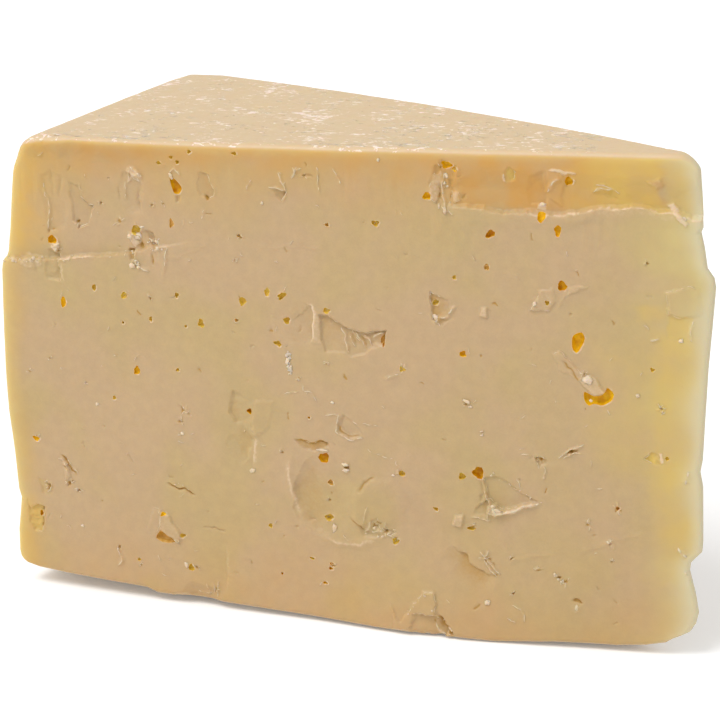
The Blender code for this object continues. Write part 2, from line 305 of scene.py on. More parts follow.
def hollow(sheet, place, warm=0.3, torn=0.15):
    # a torn hollow with one steep wall: across, up, half width, half height, depth, wall's direction
    centreAcross, centreUp, halfWidth, halfHeight, depth, steep = place
    corners = [(centreAcross - halfWidth, centreUp - halfHeight),
               (centreAcross + halfWidth, centreUp + halfHeight)]
    area = areaAround(sheet, corners, 1.5)
    aside = (sheet["across"][area] - centreAcross) / halfWidth
    above = (sheet["up"][area] - centreUp) / halfHeight
    aside = aside + 0.18 * softNoise(sheet["plainAcross"][area], sheet["plainUp"][area], 0.45 * halfWidth, 31)
    reach = np.minimum(np.hypot(aside, above), 1.0)
    turn = math.radians(steep)
    wall = (aside * math.cos(turn) + above * math.sin(turn)) / np.maximum(reach, 0.05)
    sharpness = 1.6 + 4.0 * ramp(wall, 0.0, 1.0)
    sunk = (1.0 - reach ** sharpness) * (0.75 + 0.25 * wall * reach)
    sheet["depth"][area] += depth * sunk
    # brown painted shade in the hollow, strongest down its steep wall
    mark(sheet, area, "warm", warm * np.clip(1.6 * sunk, 0.0, 1.0) * (0.7 + 0.3 * ramp(wall, -0.3, 0.8)))
    mark(sheet, area, "torn", torn * sunk)


def finishSheet(sheet):
    # torn places get a crumbly surface, and the whole cut faint drag lines and dimples
    across, up = sheet["plainAcross"], sheet["plainUp"]
    layer = sheet["layer"]
    sheet["depth"] += sheet["torn"] * 0.45 * roughNoise(across, up, 1.1, layer + 40, 4)
    sheet["depth"] += 0.09 * roughNoise(across, up, 6.0, layer + 60, 2)
    # the knife dragged down under the wheel's face and sideways lower down
    upright = roughNoise(across / 0.9, up / 9.0, 1.0, layer + 90, 2)
    patchy = ramp(softNoise(across, up, 11.0, layer + 96), -0.3, 0.5)
    high = ramp(up, 76.0, 90.0) * (1.0 - ramp(up, 100.0, 106.0))
    sheet["depth"] += 0.08 * upright * patchy * high
    sideways = roughNoise(across / 14.0, up / 1.8, 1.0, layer + 93, 2)
    sheet["depth"] += 0.03 * sideways * (1.0 - 0.7 * high)
    streaks = ramp(roughNoise(across / 0.35, up / 5.0, 1.0, layer + 99, 2), 0.35, 0.7)
    sheet["pale"] = np.maximum(sheet["pale"], 0.3 * streaks * patchy * high * sheet["broken"])


def litEyeRims(sheet, outlines):
    # a raised pale lip round an eye, partly its own paleness and partly a painted highlight, whole only on its lower
    # right, the side that faces the light
    for outline in outlines:
        area = areaAround(sheet, outline, 1.2)
        across, up = sheet["plainAcross"][area], sheet["plainUp"][area]
        away = -insideField(across, up, outline)
        middleAcross, middleUp = middleOf(outline)
        aside, above = across - middleAcross, up - middleUp
        toward = (0.8 * aside - 0.6 * above) / np.maximum(np.hypot(aside, above), 0.2)
        whole = (0.15 + 0.85 * sheet["broken"][area]) * (0.3 + 0.7 * ramp(toward, -0.5, 0.8))
        trace = np.exp(-((away - 0.16) / 0.18) ** 2) * whole
        sheet["depth"][area] -= 0.12 * trace
        mark(sheet, area, "pale", 0.8 * trace)


# Torn hollows of the front cut, in the order that hollow reads them.
frontTears = [
    (70.8, 30.0, 7.2, 9.8, 1.3, 190.0),      # round hollow below the middle
    (96.2, 100.0, 3.2, 6.0, 0.9, 100.0),     # patch under the top edge
    (28.6, 81.6, 3.4, 4.4, 0.7, 90.0),       # column near the rind end
    (41.0, 2.6, 6.0, 3.0, 1.3, 250.0),       # crumbled foot
    (50.9, 40.2, 3.0, 5.0, 0.8, 0.0),        # column left of the middle
]


def path(points, **marks):
    return points, marks


# Sunk and raised patches of the front cut: the outline, and how facet marks it.
frontFacets = [
    # leaf-shaped tear and the lower ground before it, with flat patches of painted shade over both
    path([(69.0, 70.7), (71.0, 70.5), (74.5, 68.8), (76.7, 67.8), (80.2, 67.3), (81.5, 68.1), (84.1, 68.5),
          (83.8, 65.8), (79.8, 63.4), (76.1, 62.2), (70.4, 63.0)], depth=0.8, toward=75, slope=1.0, edge=0.5,
         warm=0.5, lip=0.6),
    path([(67.4, 72.6), (69.8, 71.0), (70.2, 64.4), (67.0, 64.4), (67.3, 68.0)],
         depth=-0.15, edge=0.6, pale=0.3),
    path([(70.6, 70.2), (74.4, 68.6), (75.6, 66.8), (74.8, 63.6), (70.8, 63.4)],
         depth=0.0, edge=0.8, warm=0.42),
    path([(61.6, 71.8), (66.8, 72.0), (66.8, 64.6), (61.4, 64.2)], depth=0.0, edge=1.6, warm=0.3),
    # three-cornered pit
    path([(93.2, 77.4), (95.7, 76.3), (97.9, 75.6), (98.4, 72.2), (96.5, 70.2), (94.4, 71.2), (94.0, 74.0)],
         depth=0.5, toward=200, slope=0.9, edge=0.6, warm=0.7, torn=0.6, lip=0.7),
    # soft lobe right of the hollow
    path([(81.0, 34.5), (78.1, 31.7), (77.1, 29.2), (76.2, 25.9), (79.1, 23.6), (84.0, 23.4), (88.4, 26.0),
          (89.6, 31.0), (86.0, 34.6)], depth=-0.45, toward=150, slope=0.6, edge=2.6),
    # almond-shaped tear over the hollow
    path([(63.1, 41.9), (66.3, 42.3), (69.1, 41.8), (71.2, 41.6), (71.4, 40.7), (68.7, 39.8), (65.0, 40.8)],
         depth=0.5, toward=75, slope=0.9, edge=0.35, warm=0.8, torn=0.3, lip=0.3),
    # sunken three-cornered patch by the dark eye, and the small one under its left end
    path([(106.3, 37.4), (108.2, 38.4), (113.0, 35.7), (118.6, 32.6), (116.2, 32.6), (113.4, 31.6),
          (111.0, 31.0), (108.6, 31.4), (107.2, 33.0)],
         depth=0.55, toward=235, slope=0.9, edge=0.5, warm=0.3, lip=0.6),
    path([(104.0, 28.8), (105.2, 31.0), (107.2, 32.4), (107.4, 29.0)],
         depth=0.5, toward=60, slope=0.9, edge=0.5, warm=0.4, lip=0.6),
    # facets left of the middle
    path([(49.6, 51.4), (52.2, 50.8), (54.6, 50.0), (54.8, 46.8), (53.0, 45.0), (50.0, 44.4), (48.4, 46.6)],
         depth=0.35, toward=200, slope=1.0, edge=0.9, warm=0.3, torn=0.25),
    path([(54.6, 50.2), (58.6, 50.0), (58.4, 44.4), (54.6, 42.2), (53.6, 45.0)], depth=-0.35, toward=180,
         slope=1.0, edge=0.8),
    # the fold right of it
    path([(74.2, 48.2), (74.6, 45.6), (76.4, 44.5), (78.8, 44.9), (78.2, 46.4), (76.6, 47.8)], depth=0.35,
         toward=230, slope=1.0, edge=0.3, warm=0.2),
    # the broken edge of the shallow hollow, lower right
    path([(78.6, 23.6), (81.2, 24.6), (82.8, 26.2), (84.4, 23.6), (87.0, 23.0), (84.0, 21.2), (80.0, 21.0)],
         depth=0.3, edge=0.6, pale=0.25, torn=0.8, lip=0.6),
    # the loose plates at the foot
    path([(86.4, 6.6), (88.0, 2.6), (90.5, 5.4), (93.2, 9.9), (96.1, 10.6), (96.5, 5.4), (92.0, 5.2),
          (90.6, 1.4), (87.4, 0.8)], depth=-0.45, toward=60, slope=0.6, edge=0.35, pale=0.06, lip=0.8),
    path([(91.2, 5.0), (96.6, 5.2), (99.6, 1.4), (98.0, 0.0), (91.0, 0.4)], depth=0.7, toward=0, slope=0.8,
         edge=0.5, warm=0.3, torn=0.3),
    # the hanging flap over the lower left eye
    path([(31.2, 21.8), (33.6, 21.0), (34.8, 19.0), (36.6, 16.6), (36.0, 15.2), (34.0, 16.2), (32.2, 17.8)],
         depth=-0.6, toward=225, slope=0.5, edge=0.35, pale=0.3, lip=0.8),
    path([(30.2, 22.4), (31.6, 22.6), (32.0, 18.0), (30.4, 15.6), (28.6, 16.4)],
         depth=-0.2, edge=0.8, lip=0.3),
    # yellow tear by the rind foot
    path([(-1.7, 20.9), (-0.8, 18.6), (1.2, 19.6), (2.6, 19.0), (2.2, 13.4), (0.4, 13.0), (-0.8, 15.4)],
         depth=0.45, toward=0, slope=1.0, edge=0.5, gold=0.8, warm=0.12, torn=0.9, lip=0.9),
    path([(1.8, 25.8), (4.2, 26.0), (5.0, 23.8), (4.0, 22.0), (2.4, 22.6)], depth=0.25, toward=200, slope=1.0,
         edge=0.6, gold=0.3, torn=0.3),
    # the tongue over the curved eye, and the fold that leads to it
    path([(126.0, 61.0), (128.4, 62.2), (130.4, 60.9), (132.0, 58.6), (129.4, 57.7), (127.4, 58.8)],
         depth=-0.5, toward=300, slope=0.4, edge=0.35, pale=0.4),
    path([(120.8, 66.2), (122.4, 66.8), (125.2, 63.8), (127.0, 61.6), (126.0, 60.4), (122.6, 62.6)],
         depth=-0.4, toward=45, slope=1.0, edge=0.5, lip=0.3),
    # a smeared plate under the round eye, and the torn bit left of its foot
    path([(115.6, 75.6), (117.2, 79.6), (120.0, 80.6), (120.6, 77.6), (119.4, 75.8)], depth=-0.4, toward=200,
         slope=0.9, edge=0.4, pale=0.25, torn=0.2, lip=0.6),
    path([(123.4, 80.4), (127.8, 81.5), (124.8, 79.4), (122.8, 79.2)], depth=-0.3, edge=0.4, pale=0.3),
    # yellow tears near the tip
    path([(140.5, 44.4), (141.8, 46.0), (143.5, 45.5), (144.0, 43.3), (142.2, 43.9)], depth=0.28, toward=200,
         slope=0.8, edge=0.4, gold=1.0, torn=0.6, lip=0.8),
    path([(143.4, 46.0), (144.2, 45.6), (144.6, 43.8), (143.8, 43.6)], depth=-0.2, edge=0.4, pale=0.8),
    path([(116.9, 42.7), (117.8, 43.1), (119.5, 42.8), (119.9, 41.9), (118.8, 41.2), (117.9, 40.4)],
         depth=0.4, toward=120, slope=0.9, edge=0.4, warm=0.6, torn=0.8, lip=0.8),
    # pale plates and steps at the tip
    path([(143.8, 81.3), (150.6, 82.6), (151.6, 77.0), (147.0, 75.8), (144.4, 76.6)], depth=-0.35, toward=180,
         slope=0.9, edge=0.9, pale=0.16, lip=0.5),
    path([(139.2, 103.8), (141.6, 105.0), (142.2, 103.0), (140.8, 102.4)], depth=-0.25, edge=0.5, pale=0.3),
    path([(143.2, 99.7), (144.4, 99.8), (146.2, 97.8), (148.2, 96.4), (147.4, 95.6), (145.0, 96.8)],
         depth=-0.35, edge=0.4, pale=0.7),
    # flat flake by the eye under the top edge, and the flap below it
    path([(118.0, 105.0), (119.6, 105.5), (121.4, 106.0), (123.9, 105.6), (123.8, 105.0), (120.9, 105.0)],
         depth=-0.25, edge=0.3, pale=0.7, lip=0.3),
    path([(114.6, 104.0), (117.6, 104.6), (118.2, 98.4), (114.6, 97.8), (113.6, 100.4)], depth=0.25, toward=0,
         slope=1.0, edge=0.7, warm=0.25),
    path([(118.4, 104.8), (121.3, 104.8), (121.3, 97.8), (119.1, 99.2)], depth=-0.3, toward=180, slope=0.8,
         edge=0.5),
    path([(116.3, 96.8), (116.5, 98.0), (118.4, 98.0), (118.6, 96.7)], depth=-0.15, edge=0.4, pale=0.6),
    # pinkish plates and yellow torn bits of the patch under the top edge
    path([(93.2, 98.6), (93.6, 102.3), (95.4, 103.4), (96.0, 99.8), (94.6, 97.2)], depth=-0.25, toward=200,
         slope=0.5, edge=0.4, pale=0.45, lip=0.6),
    path([(97.6, 99.8), (99.4, 99.6), (99.9, 97.6), (98.2, 96.9)], depth=-0.2, edge=0.4, pale=0.45, lip=0.4),
    # painted shade laid flat over the patch's hollow
    path([(94.2, 104.6), (98.8, 105.2), (100.0, 101.4), (99.0, 96.6), (96.4, 94.6), (94.0, 99.6)], depth=0.0,
         edge=1.2, warm=0.34, torn=0.4),
    path([(108.8, 104.3), (109.7, 105.7), (111.4, 105.0), (110.5, 102.6), (108.8, 102.1)],
         depth=0.35, toward=20, slope=0.8, edge=0.4, warm=0.5, gold=0.8, torn=0.7, lip=0.8),
    path([(129.5, 101.0), (131.8, 101.2), (133.0, 99.8), (131.2, 100.0)], depth=0.22, edge=0.5, gold=0.9),
    # dents and finger marks under the top edge, rind end
    path([(11.0, 95.4), (13.3, 94.7), (13.4, 92.0), (15.3, 90.3), (16.4, 89.9), (15.9, 88.5), (14.7, 85.8),
          (13.2, 84.8), (11.9, 86.7), (11.3, 90.0)],
         depth=0.5, toward=350, slope=0.9, edge=0.5, warm=0.25, lip=0.9),
    path([(24.8, 96.4), (25.2, 98.6), (26.9, 99.6), (28.3, 98.6), (28.0, 96.8), (26.4, 97.4)], depth=-0.25,
         edge=0.4, pale=0.55, torn=0.6, lip=0.9),
    path([(4.6, 96.0), (6.8, 97.2), (9.0, 96.2), (10.2, 92.0), (9.6, 84.8), (6.0, 84.0), (5.0, 89.0)],
         depth=0.3, toward=200, slope=1.0, edge=1.4),
    path([(23.6, 99.0), (25.6, 97.8), (27.6, 97.6), (28.6, 95.0), (27.6, 90.0), (23.4, 90.6), (22.8, 95.0)],
         depth=0.35, toward=20, slope=1.0, edge=1.2, torn=0.3),
    path([(41.6, 99.5), (43.7, 99.1), (44.3, 97.4), (45.0, 95.9), (44.8, 95.0), (43.6, 94.0), (42.0, 94.6),
          (41.2, 97.0)], depth=0.45, toward=0, slope=1.0, edge=0.35, warm=0.3, lip=1.0),
    path([(58.0, 97.3), (60.8, 97.0), (61.5, 97.0), (60.1, 94.6)], depth=0.6, toward=0, slope=1.0, edge=0.3,
         warm=0.5, torn=0.3, lip=0.9),
    path([(35.7, 94.8), (37.2, 95.0), (36.8, 92.6), (36.1, 92.4)], depth=0.45, edge=0.4, warm=0.6),
    # curled flake at the yellow eye, and the torn streak that hangs under it below the ledge
    path([(6.0, 80.6), (7.4, 81.8), (8.1, 81.2), (7.4, 79.8)], depth=-0.5, edge=0.35, pale=0.7, lip=0.6),
    path([(5.3, 80.0), (8.4, 79.6), (9.0, 74.6), (8.6, 73.0), (5.7, 73.8)], depth=0.45, toward=0, slope=0.9,
         edge=0.45, warm=0.2, torn=0.6, lip=0.9),
    # flakes round the green eye
    path([(24.5, 84.9), (25.8, 85.3), (27.6, 84.3), (28.0, 83.0), (26.6, 82.2), (25.4, 83.0)], depth=-0.35,
         toward=90, slope=0.6, edge=0.35, pale=0.6, lip=0.6),
    path([(29.0, 85.4), (30.5, 85.1), (31.9, 82.4), (30.9, 81.6), (29.6, 83.2)],
         depth=0.5, toward=0, slope=0.9, edge=0.35, warm=0.6, torn=0.5, lip=1.0),
    path([(25.0, 81.6), (26.3, 81.7), (26.2, 79.2), (25.2, 79.0)], depth=0.6, edge=0.35, warm=0.8, torn=0.4,
         lip=0.7),
    path([(-1.6, 78.4), (4.4, 78.6), (4.6, 76.2), (2.0, 75.4), (-1.0, 75.8)], depth=-0.2, edge=0.9, pale=0.4,
         torn=0.7),
    # soft raised lumps that the knife left standing
    path([(99.6, 28.2), (101.6, 28.4), (101.8, 26.1), (99.8, 25.9)], depth=-0.55, edge=0.4, pale=0.4),
    path([(104.4, 74.8), (106.0, 74.8), (105.8, 72.8), (104.6, 72.6)], depth=-0.5, edge=0.4, pale=0.45),
    path([(8.0, 30.4), (9.2, 30.6), (9.6, 27.4), (8.6, 26.6)], depth=-0.35, edge=0.4, pale=0.35),
    # places where the paste is yellower, towards the tip
    path([(126.0, 108.6), (142.1, 109.5), (142.2, 106.6), (142.0, 104.4), (140.1, 104.1), (141.8, 100.9),
          (144.4, 97.8), (137.8, 98.8), (129.3, 98.0), (122.0, 97.0), (114.0, 103.0)], depth=0.0, toward=0,
         slope=1.3, edge=1.0, gold=0.8),
    path([(138.1, 77.9), (144.0, 78.3), (144.1, 74.9), (138.2, 74.4)], depth=0.0, edge=2.0, gold=0.5),
    path([(144.4, 76.2), (149.2, 76.1), (149.4, 71.3), (145.0, 71.0)], depth=0.12, edge=0.8, gold=0.75),
    path([(141.3, 72.9), (153.6, 73.0), (153.6, 20.8), (146.0, 17.0), (142.4, 40.0)],
         depth=0.0, edge=7.0, gold=0.6),
    path([(129.6, 68.6), (143.6, 70.6), (145.9, 44.3), (136.0, 40.0), (129.0, 47.6)],
         depth=0.0, edge=9.0, gold=0.24),
    path([(142.0, 109.4), (149.4, 108.6), (149.0, 97.0), (143.4, 99.8)], depth=0.0, edge=2.4, gold=0.55),
]
# Steps in the cut: a line, how far it drops beside it and over what reach it comes back.
frontPeels = [
    path([(109.5, 15.2), (107.7, 15.8), (105.5, 16.5), (103.7, 17.9), (103.2, 19.4),
          (100.9, 19.9), (99.5, 21.5)],
         drop=0.7, reach=4.4, warm=0.5, pale=0.2),
    path([(47.5, 3.4), (47.7, 10.0), (47.9, 16.4)], drop=0.28, reach=2.4, pale=0.3, warm=0.2),
    path([(54.2, 33.8), (54.4, 39.6), (54.2, 43.4)], drop=0.3, reach=1.2, pale=0.6),
    # crisp upright edge between the low ground and the leaf-shaped tear
    path([(66.9, 64.0), (67.0, 67.9), (67.4, 71.0), (67.2, 72.6), (65.4, 73.0)],
         drop=0.5, reach=3.6, crisp=0.25, pale=1.0, warm=0.25),
    path([(9.1, 71.9), (9.4, 77.6)], drop=0.3, reach=1.2, crisp=0.3, pale=0.5),
]
# Grooves and raised lips: a line, its width and its depth, which is negative for a lip.
frontScores = [
    # ribs of the leaf-shaped tear
    path([(74.1, 68.3), (74.8, 65.8), (75.4, 62.6)], width=0.3, depth=-0.45, pale=1.0),
    path([(75.8, 66.2), (77.3, 64.0)], width=0.2, depth=-0.42, pale=0.8),
    path([(76.7, 67.6), (78.5, 65.1)], width=0.2, depth=-0.42, pale=0.9),
    path([(77.4, 67.4), (79.9, 63.8)], width=0.2, depth=-0.42, pale=0.9),
    path([(79.3, 66.8), (80.9, 65.2), (81.0, 64.4)], width=0.24, depth=-0.42, pale=1.0),
    path([(81.4, 66.0), (82.4, 67.4), (83.4, 67.9)], width=0.4, depth=-0.4, pale=1.0),
    path([(76.3, 67.0), (77.6, 64.6)], width=0.2, depth=0.35, warm=0.6),
    path([(78.4, 66.8), (80.2, 64.2)], width=0.2, depth=0.3, warm=0.6),
    # pale rim of the hollow below the middle, and the creases of the lobe beside it
    path([(62.9, 40.6), (62.7, 36.0), (63.2, 31.0), (64.1, 27.2), (65.9, 23.9), (69.7, 21.3), (74.1, 19.8),
          (77.9, 19.5), (83.8, 20.8)], width=0.9, depth=-0.34, pale=0.4),
    path([(62.5, 37.6), (62.6, 33.0), (63.5, 28.4), (65.6, 24.2)], width=0.6, depth=0.0, pale=0.9),
    path([(71.0, 20.6), (74.1, 19.8), (77.9, 19.5), (83.8, 20.8)], width=0.45, depth=0.0, pale=0.9),
    path([(76.2, 25.9), (79.1, 23.6), (80.1, 22.0)], width=0.22, depth=0.4, warm=0.6),
    path([(80.4, 28.2), (80.3, 24.6)], width=0.26, depth=-0.3, pale=0.6),
    path([(81.8, 35.0), (79.6, 33.6), (78.1, 31.7)], width=0.3, depth=0.4, warm=0.6),
    path([(83.0, 25.4), (84.0, 24.6)], width=0.22, depth=0.5, warm=1.0),
    path([(63.1, 42.0), (66.3, 42.4), (69.1, 41.9), (71.3, 41.4), (71.5, 40.6)],
         width=0.22, depth=0.35, warm=1.2),
    # crescent fold
    path([(74.1, 46.8), (74.4, 45.2), (75.4, 44.4), (76.8, 44.1), (78.6, 44.5)],
         width=0.22, depth=0.45, warm=0.7),
    path([(73.5, 47.4), (73.8, 44.8), (75.2, 43.8), (77.0, 43.4), (79.4, 44.2)],
         width=0.35, depth=-0.3, pale=0.8),
    # two pale curls with a slit between them
    path([(74.6, 37.2), (75.6, 37.4), (76.4, 37.1)], width=0.45, depth=-0.4, pale=1.2),
    path([(74.8, 36.2), (75.8, 36.1), (76.6, 36.2)], width=0.4, depth=-0.35, pale=1.1),
    path([(74.9, 36.7), (75.8, 36.8), (76.6, 36.6)], width=0.2, depth=0.7, warm=1.2),
    # crackle up the rind side
    path([(7.4, 32.4), (8.6, 31.6), (9.4, 30.4), (10.1, 29.0), (11.2, 28.0)], width=0.2, depth=0.45, warm=0.9),
    path([(7.0, 31.4), (8.0, 31.2), (8.8, 30.0), (8.9, 28.0)], width=0.2, depth=-0.25, pale=0.9),
    path([(9.6, 31.6), (10.4, 29.8), (11.4, 28.6)], width=0.2, depth=-0.25, pale=0.8),
    path([(8.8, 25.2), (9.6, 26.0), (10.2, 26.8)], width=0.2, depth=0.35, warm=0.7),
    path([(3.0, 25.2), (3.8, 26.0), (4.6, 24.6), (3.6, 22.8)], width=0.2, depth=-0.25, pale=0.8),
    path([(3.3, 25.0), (4.1, 24.2), (3.4, 23.4)], width=0.2, depth=0.35, warm=0.7),
    path([(10.8, 24.8), (11.8, 25.2), (13.2, 24.6)], width=0.2, depth=-0.22, pale=0.8),
    path([(2.4, 19.4), (2.6, 17.4), (2.2, 14.6)], width=0.24, depth=0.55, warm=1.1),
    path([(21.2, 12.0), (22.1, 10.6), (22.0, 9.0), (21.0, 7.2)], width=0.22, depth=-0.3, pale=0.9),
    # torn edges under the wheel's face
    path([(59.9, 100.9), (60.8, 99.3), (61.5, 97.1), (60.1, 94.6)], width=0.3, depth=-0.35, pale=1.1),
    path([(57.4, 97.8), (59.2, 97.5), (60.8, 97.2)], width=0.26, depth=-0.35, pale=1.0),
    path([(60.1, 101.2), (61.0, 100.4)], width=0.24, depth=-0.25, pale=0.8),
    path([(53.4, 99.2), (52.9, 98.0), (52.4, 96.8)], width=0.24, depth=-0.22, pale=0.7),
    path([(63.1, 99.8), (63.9, 101.6), (64.9, 102.2)], width=0.3, depth=-0.25, pale=0.8),
    path([(42.6, 91.9), (42.2, 90.6), (41.9, 89.3)], width=0.24, depth=-0.2, pale=0.6),
    path([(43.0, 94.8), (43.6, 93.8)], width=0.3, depth=0.6, warm=1.2),
    path([(34.9, 99.6), (36.2, 100.2), (37.2, 98.4)], width=0.32, depth=-0.3, pale=0.9),
    path([(95.9, 103.0), (96.2, 98.6), (96.6, 94.4)], width=0.3, depth=-0.4, pale=1.0),
    path([(95.4, 101.0), (95.6, 97.4)], width=0.24, depth=0.45, warm=0.6),
    path([(95.8, 96.1), (97.1, 95.2), (98.9, 94.2)], width=0.3, depth=-0.3, pale=0.9),
    path([(108.7, 104.0), (108.6, 102.9), (108.9, 101.9)], width=0.34, depth=-0.3, pale=1.1),
    path([(120.8, 104.0), (119.6, 102.6), (118.3, 100.4)], width=0.4, depth=-0.35, pale=0.8),
    path([(127.8, 101.4), (128.7, 102.2), (130.4, 102.4), (132.0, 101.8)], width=0.32, depth=-0.3, pale=0.9),
    path([(128.4, 103.0), (130.6, 103.1), (132.4, 101.9), (133.2, 101.2)], width=0.26, depth=-0.25, pale=0.9),
    path([(121.6, 102.0), (122.2, 101.6)], width=0.2, depth=0.3, warm=1.0),
    # pale ridges that curve away from the ledge
    path([(32.6, 82.2), (33.9, 80.2), (33.6, 77.6), (33.2, 74.8)], width=0.45, depth=-0.2, pale=0.4),
    path([(34.0, 80.4), (37.0, 80.8), (38.6, 82.0), (41.0, 82.8), (43.8, 84.1)],
         width=0.4, depth=-0.12, pale=0.4),
    path([(53.0, 84.2), (58.0, 84.6), (64.0, 84.9), (71.0, 85.4)], width=0.3, depth=-0.1, pale=0.35),
    # small flakes and slits
    path([(83.8, 57.2), (85.4, 58.4), (86.9, 58.9)], width=0.26, depth=-0.18, pale=0.7),
    path([(70.2, 60.0), (71.0, 59.9), (71.6, 59.2)], width=0.24, depth=-0.2, pale=0.8),
    path([(133.2, 25.6), (134.6, 24.6), (135.3, 23.6)], width=0.7, depth=-0.25, pale=0.7),
    path([(118.8, 40.7), (119.6, 39.9), (119.3, 38.9), (118.6, 38.2)], width=0.24, depth=-0.35, pale=1.0),
    # white lip under the sunken patch, and its upright
    path([(106.4, 34.6), (107.2, 32.4), (107.8, 30.0), (107.7, 28.4)], width=0.32, depth=-0.6, pale=1.0),
    path([(107.4, 29.6), (109.8, 29.8), (111.4, 30.0), (114.6, 31.5), (118.8, 32.6)],
         width=0.5, depth=-0.75, pale=1.3),
    path([(108.2, 31.0), (109.4, 30.0), (110.8, 30.2)], width=0.75, depth=-0.6, pale=1.2),
    path([(103.2, 28.0), (105.6, 28.2), (108.6, 28.4)], width=0.18, depth=-0.35, pale=1.0),
    path([(105.7, 37.0), (106.2, 34.0), (105.6, 31.6)], width=0.3, depth=0.35, warm=0.3),
    # lip of the three-cornered pit
    path([(95.2, 70.8), (97.4, 72.4), (99.4, 74.9)], width=0.42, depth=-0.55, pale=0.7),
    # cracks
    path([(33.2, 29.3), (36.1, 27.4), (38.0, 27.9), (40.6, 26.5)], width=0.22, depth=0.55, warm=0.8),
    path([(33.2, 29.6), (36.2, 27.8), (38.2, 28.2)], width=0.25, depth=-0.2, pale=0.3),
    path([(42.3, 19.0), (45.0, 19.3), (47.6, 19.1)], width=0.2, depth=0.35, warm=0.4, pale=0.3),
    path([(96.9, 5.6), (98.2, 3.6), (100.8, 0.6)], width=0.42, depth=1.5, warm=1.0),
    path([(96.4, 3.4), (97.6, 1.6), (99.2, 0.4)], width=0.45, depth=-0.4, pale=0.9),
    path([(8.7, 31.6), (9.6, 30.8), (10.8, 29.4)], width=0.22, depth=0.4, warm=0.4),
    path([(36.6, 47.6), (37.6, 46.3), (39.6, 45.2)], width=0.2, depth=0.35, warm=0.5),
    path([(36.9, 45.2), (38.2, 46.4), (38.8, 47.6)], width=0.2, depth=-0.2, pale=0.7),
    # arcs where the knife chattered
    path([(60.8, 52.0), (62.4, 52.8), (64.0, 53.1)], width=0.24, depth=-0.16, pale=0.5),
    path([(65.3, 53.5), (67.2, 52.8), (68.5, 51.0)], width=0.26, depth=-0.16, pale=0.45),
    path([(80.7, 41.6), (82.4, 40.4), (84.4, 39.8), (86.0, 40.1)], width=0.2, depth=-0.18, pale=0.6),
    path([(87.0, 39.8), (88.2, 37.8)], width=0.2, depth=-0.18, pale=0.6),
    path([(79.2, 47.1), (82.4, 47.0)], width=0.2, depth=-0.14, pale=0.5),
    path([(84.4, 57.6), (87.2, 58.8)], width=0.22, depth=-0.12, pale=0.4),
    path([(71.0, 48.2), (73.4, 48.4), (73.8, 46.8)], width=0.24, depth=-0.2, pale=0.7),
    # long ridge towards the tip's foot
    path([(126.8, 22.6), (131.0, 24.4), (135.6, 25.8), (141.4, 28.0)], width=0.5, depth=-0.16, pale=0.25),
    path([(110.6, 18.0), (118.0, 20.8), (124.0, 22.0)], width=0.6, depth=-0.14, pale=0.2),
    # torn fibres of the flap beside the foot
    path([(106.0, 21.0), (107.1, 19.3), (108.1, 18.0), (110.4, 15.8)], width=0.25, depth=-0.45, pale=1.0),
    path([(105.6, 18.8), (107.8, 18.9)], width=0.2, depth=-0.3, pale=0.9),
    path([(108.2, 21.3), (107.0, 19.2)], width=0.2, depth=-0.3, pale=0.9),
    path([(106.8, 18.6), (108.0, 16.8), (109.6, 15.4)], width=0.25, depth=-0.4, pale=0.9),
    path([(107.6, 19.4), (109.2, 17.4)], width=0.2, depth=0.35, warm=0.6),
    # slivers right of the middle
    path([(122.4, 43.4), (124.3, 45.0), (126.0, 45.7), (127.4, 46.8)], width=0.25, depth=-0.4, pale=1.0),
    path([(123.4, 43.0), (125.2, 44.2), (127.2, 45.0)], width=0.22, depth=-0.3, pale=0.9),
    path([(124.0, 44.2), (126.2, 45.2)], width=0.2, depth=0.4, warm=0.8),
    path([(113.6, 43.4), (116.0, 43.5)], width=0.2, depth=-0.15, pale=0.5),
    path([(122.8, 64.8), (124.2, 62.9), (126.3, 60.2)], width=0.25, depth=0.35, warm=0.8),
    # slit darkened with painted shade, and smear near the foot, right
    path([(126.2, 11.4), (127.2, 11.2), (128.2, 10.4)], width=0.22, depth=0.6, warm=1.0),
    path([(127.2, 10.4), (127.6, 8.4)], width=0.9, depth=-0.2, pale=0.6),
    # short hatching over the foot, left
    path([(42.4, 5.8), (42.8, 3.4)], width=0.16, depth=-0.22, pale=0.8),
    path([(44.0, 6.0), (44.4, 3.2)], width=0.16, depth=-0.22, pale=0.8),
    path([(45.6, 6.2), (45.4, 2.8)], width=0.18, depth=-0.25, pale=0.9),
    path([(40.2, 3.2), (42.0, 3.3), (43.6, 3.9)], width=0.18, depth=-0.22, pale=0.8),
    # scrape marks up the rind end, and marks under the top edge
    path([(5.0, 94.8), (5.5, 91.0), (5.6, 86.5), (5.6, 84.4)], width=0.28, depth=-0.3, pale=0.5),
    path([(7.0, 97.4), (7.2, 92.0)], width=0.35, depth=0.2, warm=0.1),
    path([(8.6, 97.0), (8.9, 92.0)], width=0.35, depth=0.2),
    path([(13.8, 95.4), (13.7, 93.6), (14.6, 93.0)], width=0.16, depth=-0.2, pale=0.9),
    path([(24.6, 99.0), (26.0, 99.6), (27.6, 99.0), (28.6, 97.6)], width=0.35, depth=-0.35, pale=0.9),
    path([(26.2, 97.8), (27.4, 98.2), (27.8, 96.8)], width=0.3, depth=-0.3, pale=0.8),
    path([(24.4, 96.8), (24.8, 92.0)], width=0.25, depth=-0.25, pale=0.6),
    path([(22.8, 95.8), (23.2, 91.6)], width=0.22, depth=0.2, warm=0.2),
    path([(27.6, 95.2), (27.5, 90.4)], width=0.28, depth=0.25, pale=0.2),
    path([(63.0, 102.4), (64.4, 100.0)], width=0.26, depth=-0.22, pale=0.6),
    path([(65.4, 101.4), (67.2, 100.8)], width=0.22, depth=0.3, warm=0.4),
    path([(68.2, 102.8), (69.0, 97.0)], width=0.3, depth=-0.24, pale=0.5),
    path([(72.4, 102.6), (74.2, 99.4)], width=0.3, depth=-0.22, pale=0.5),
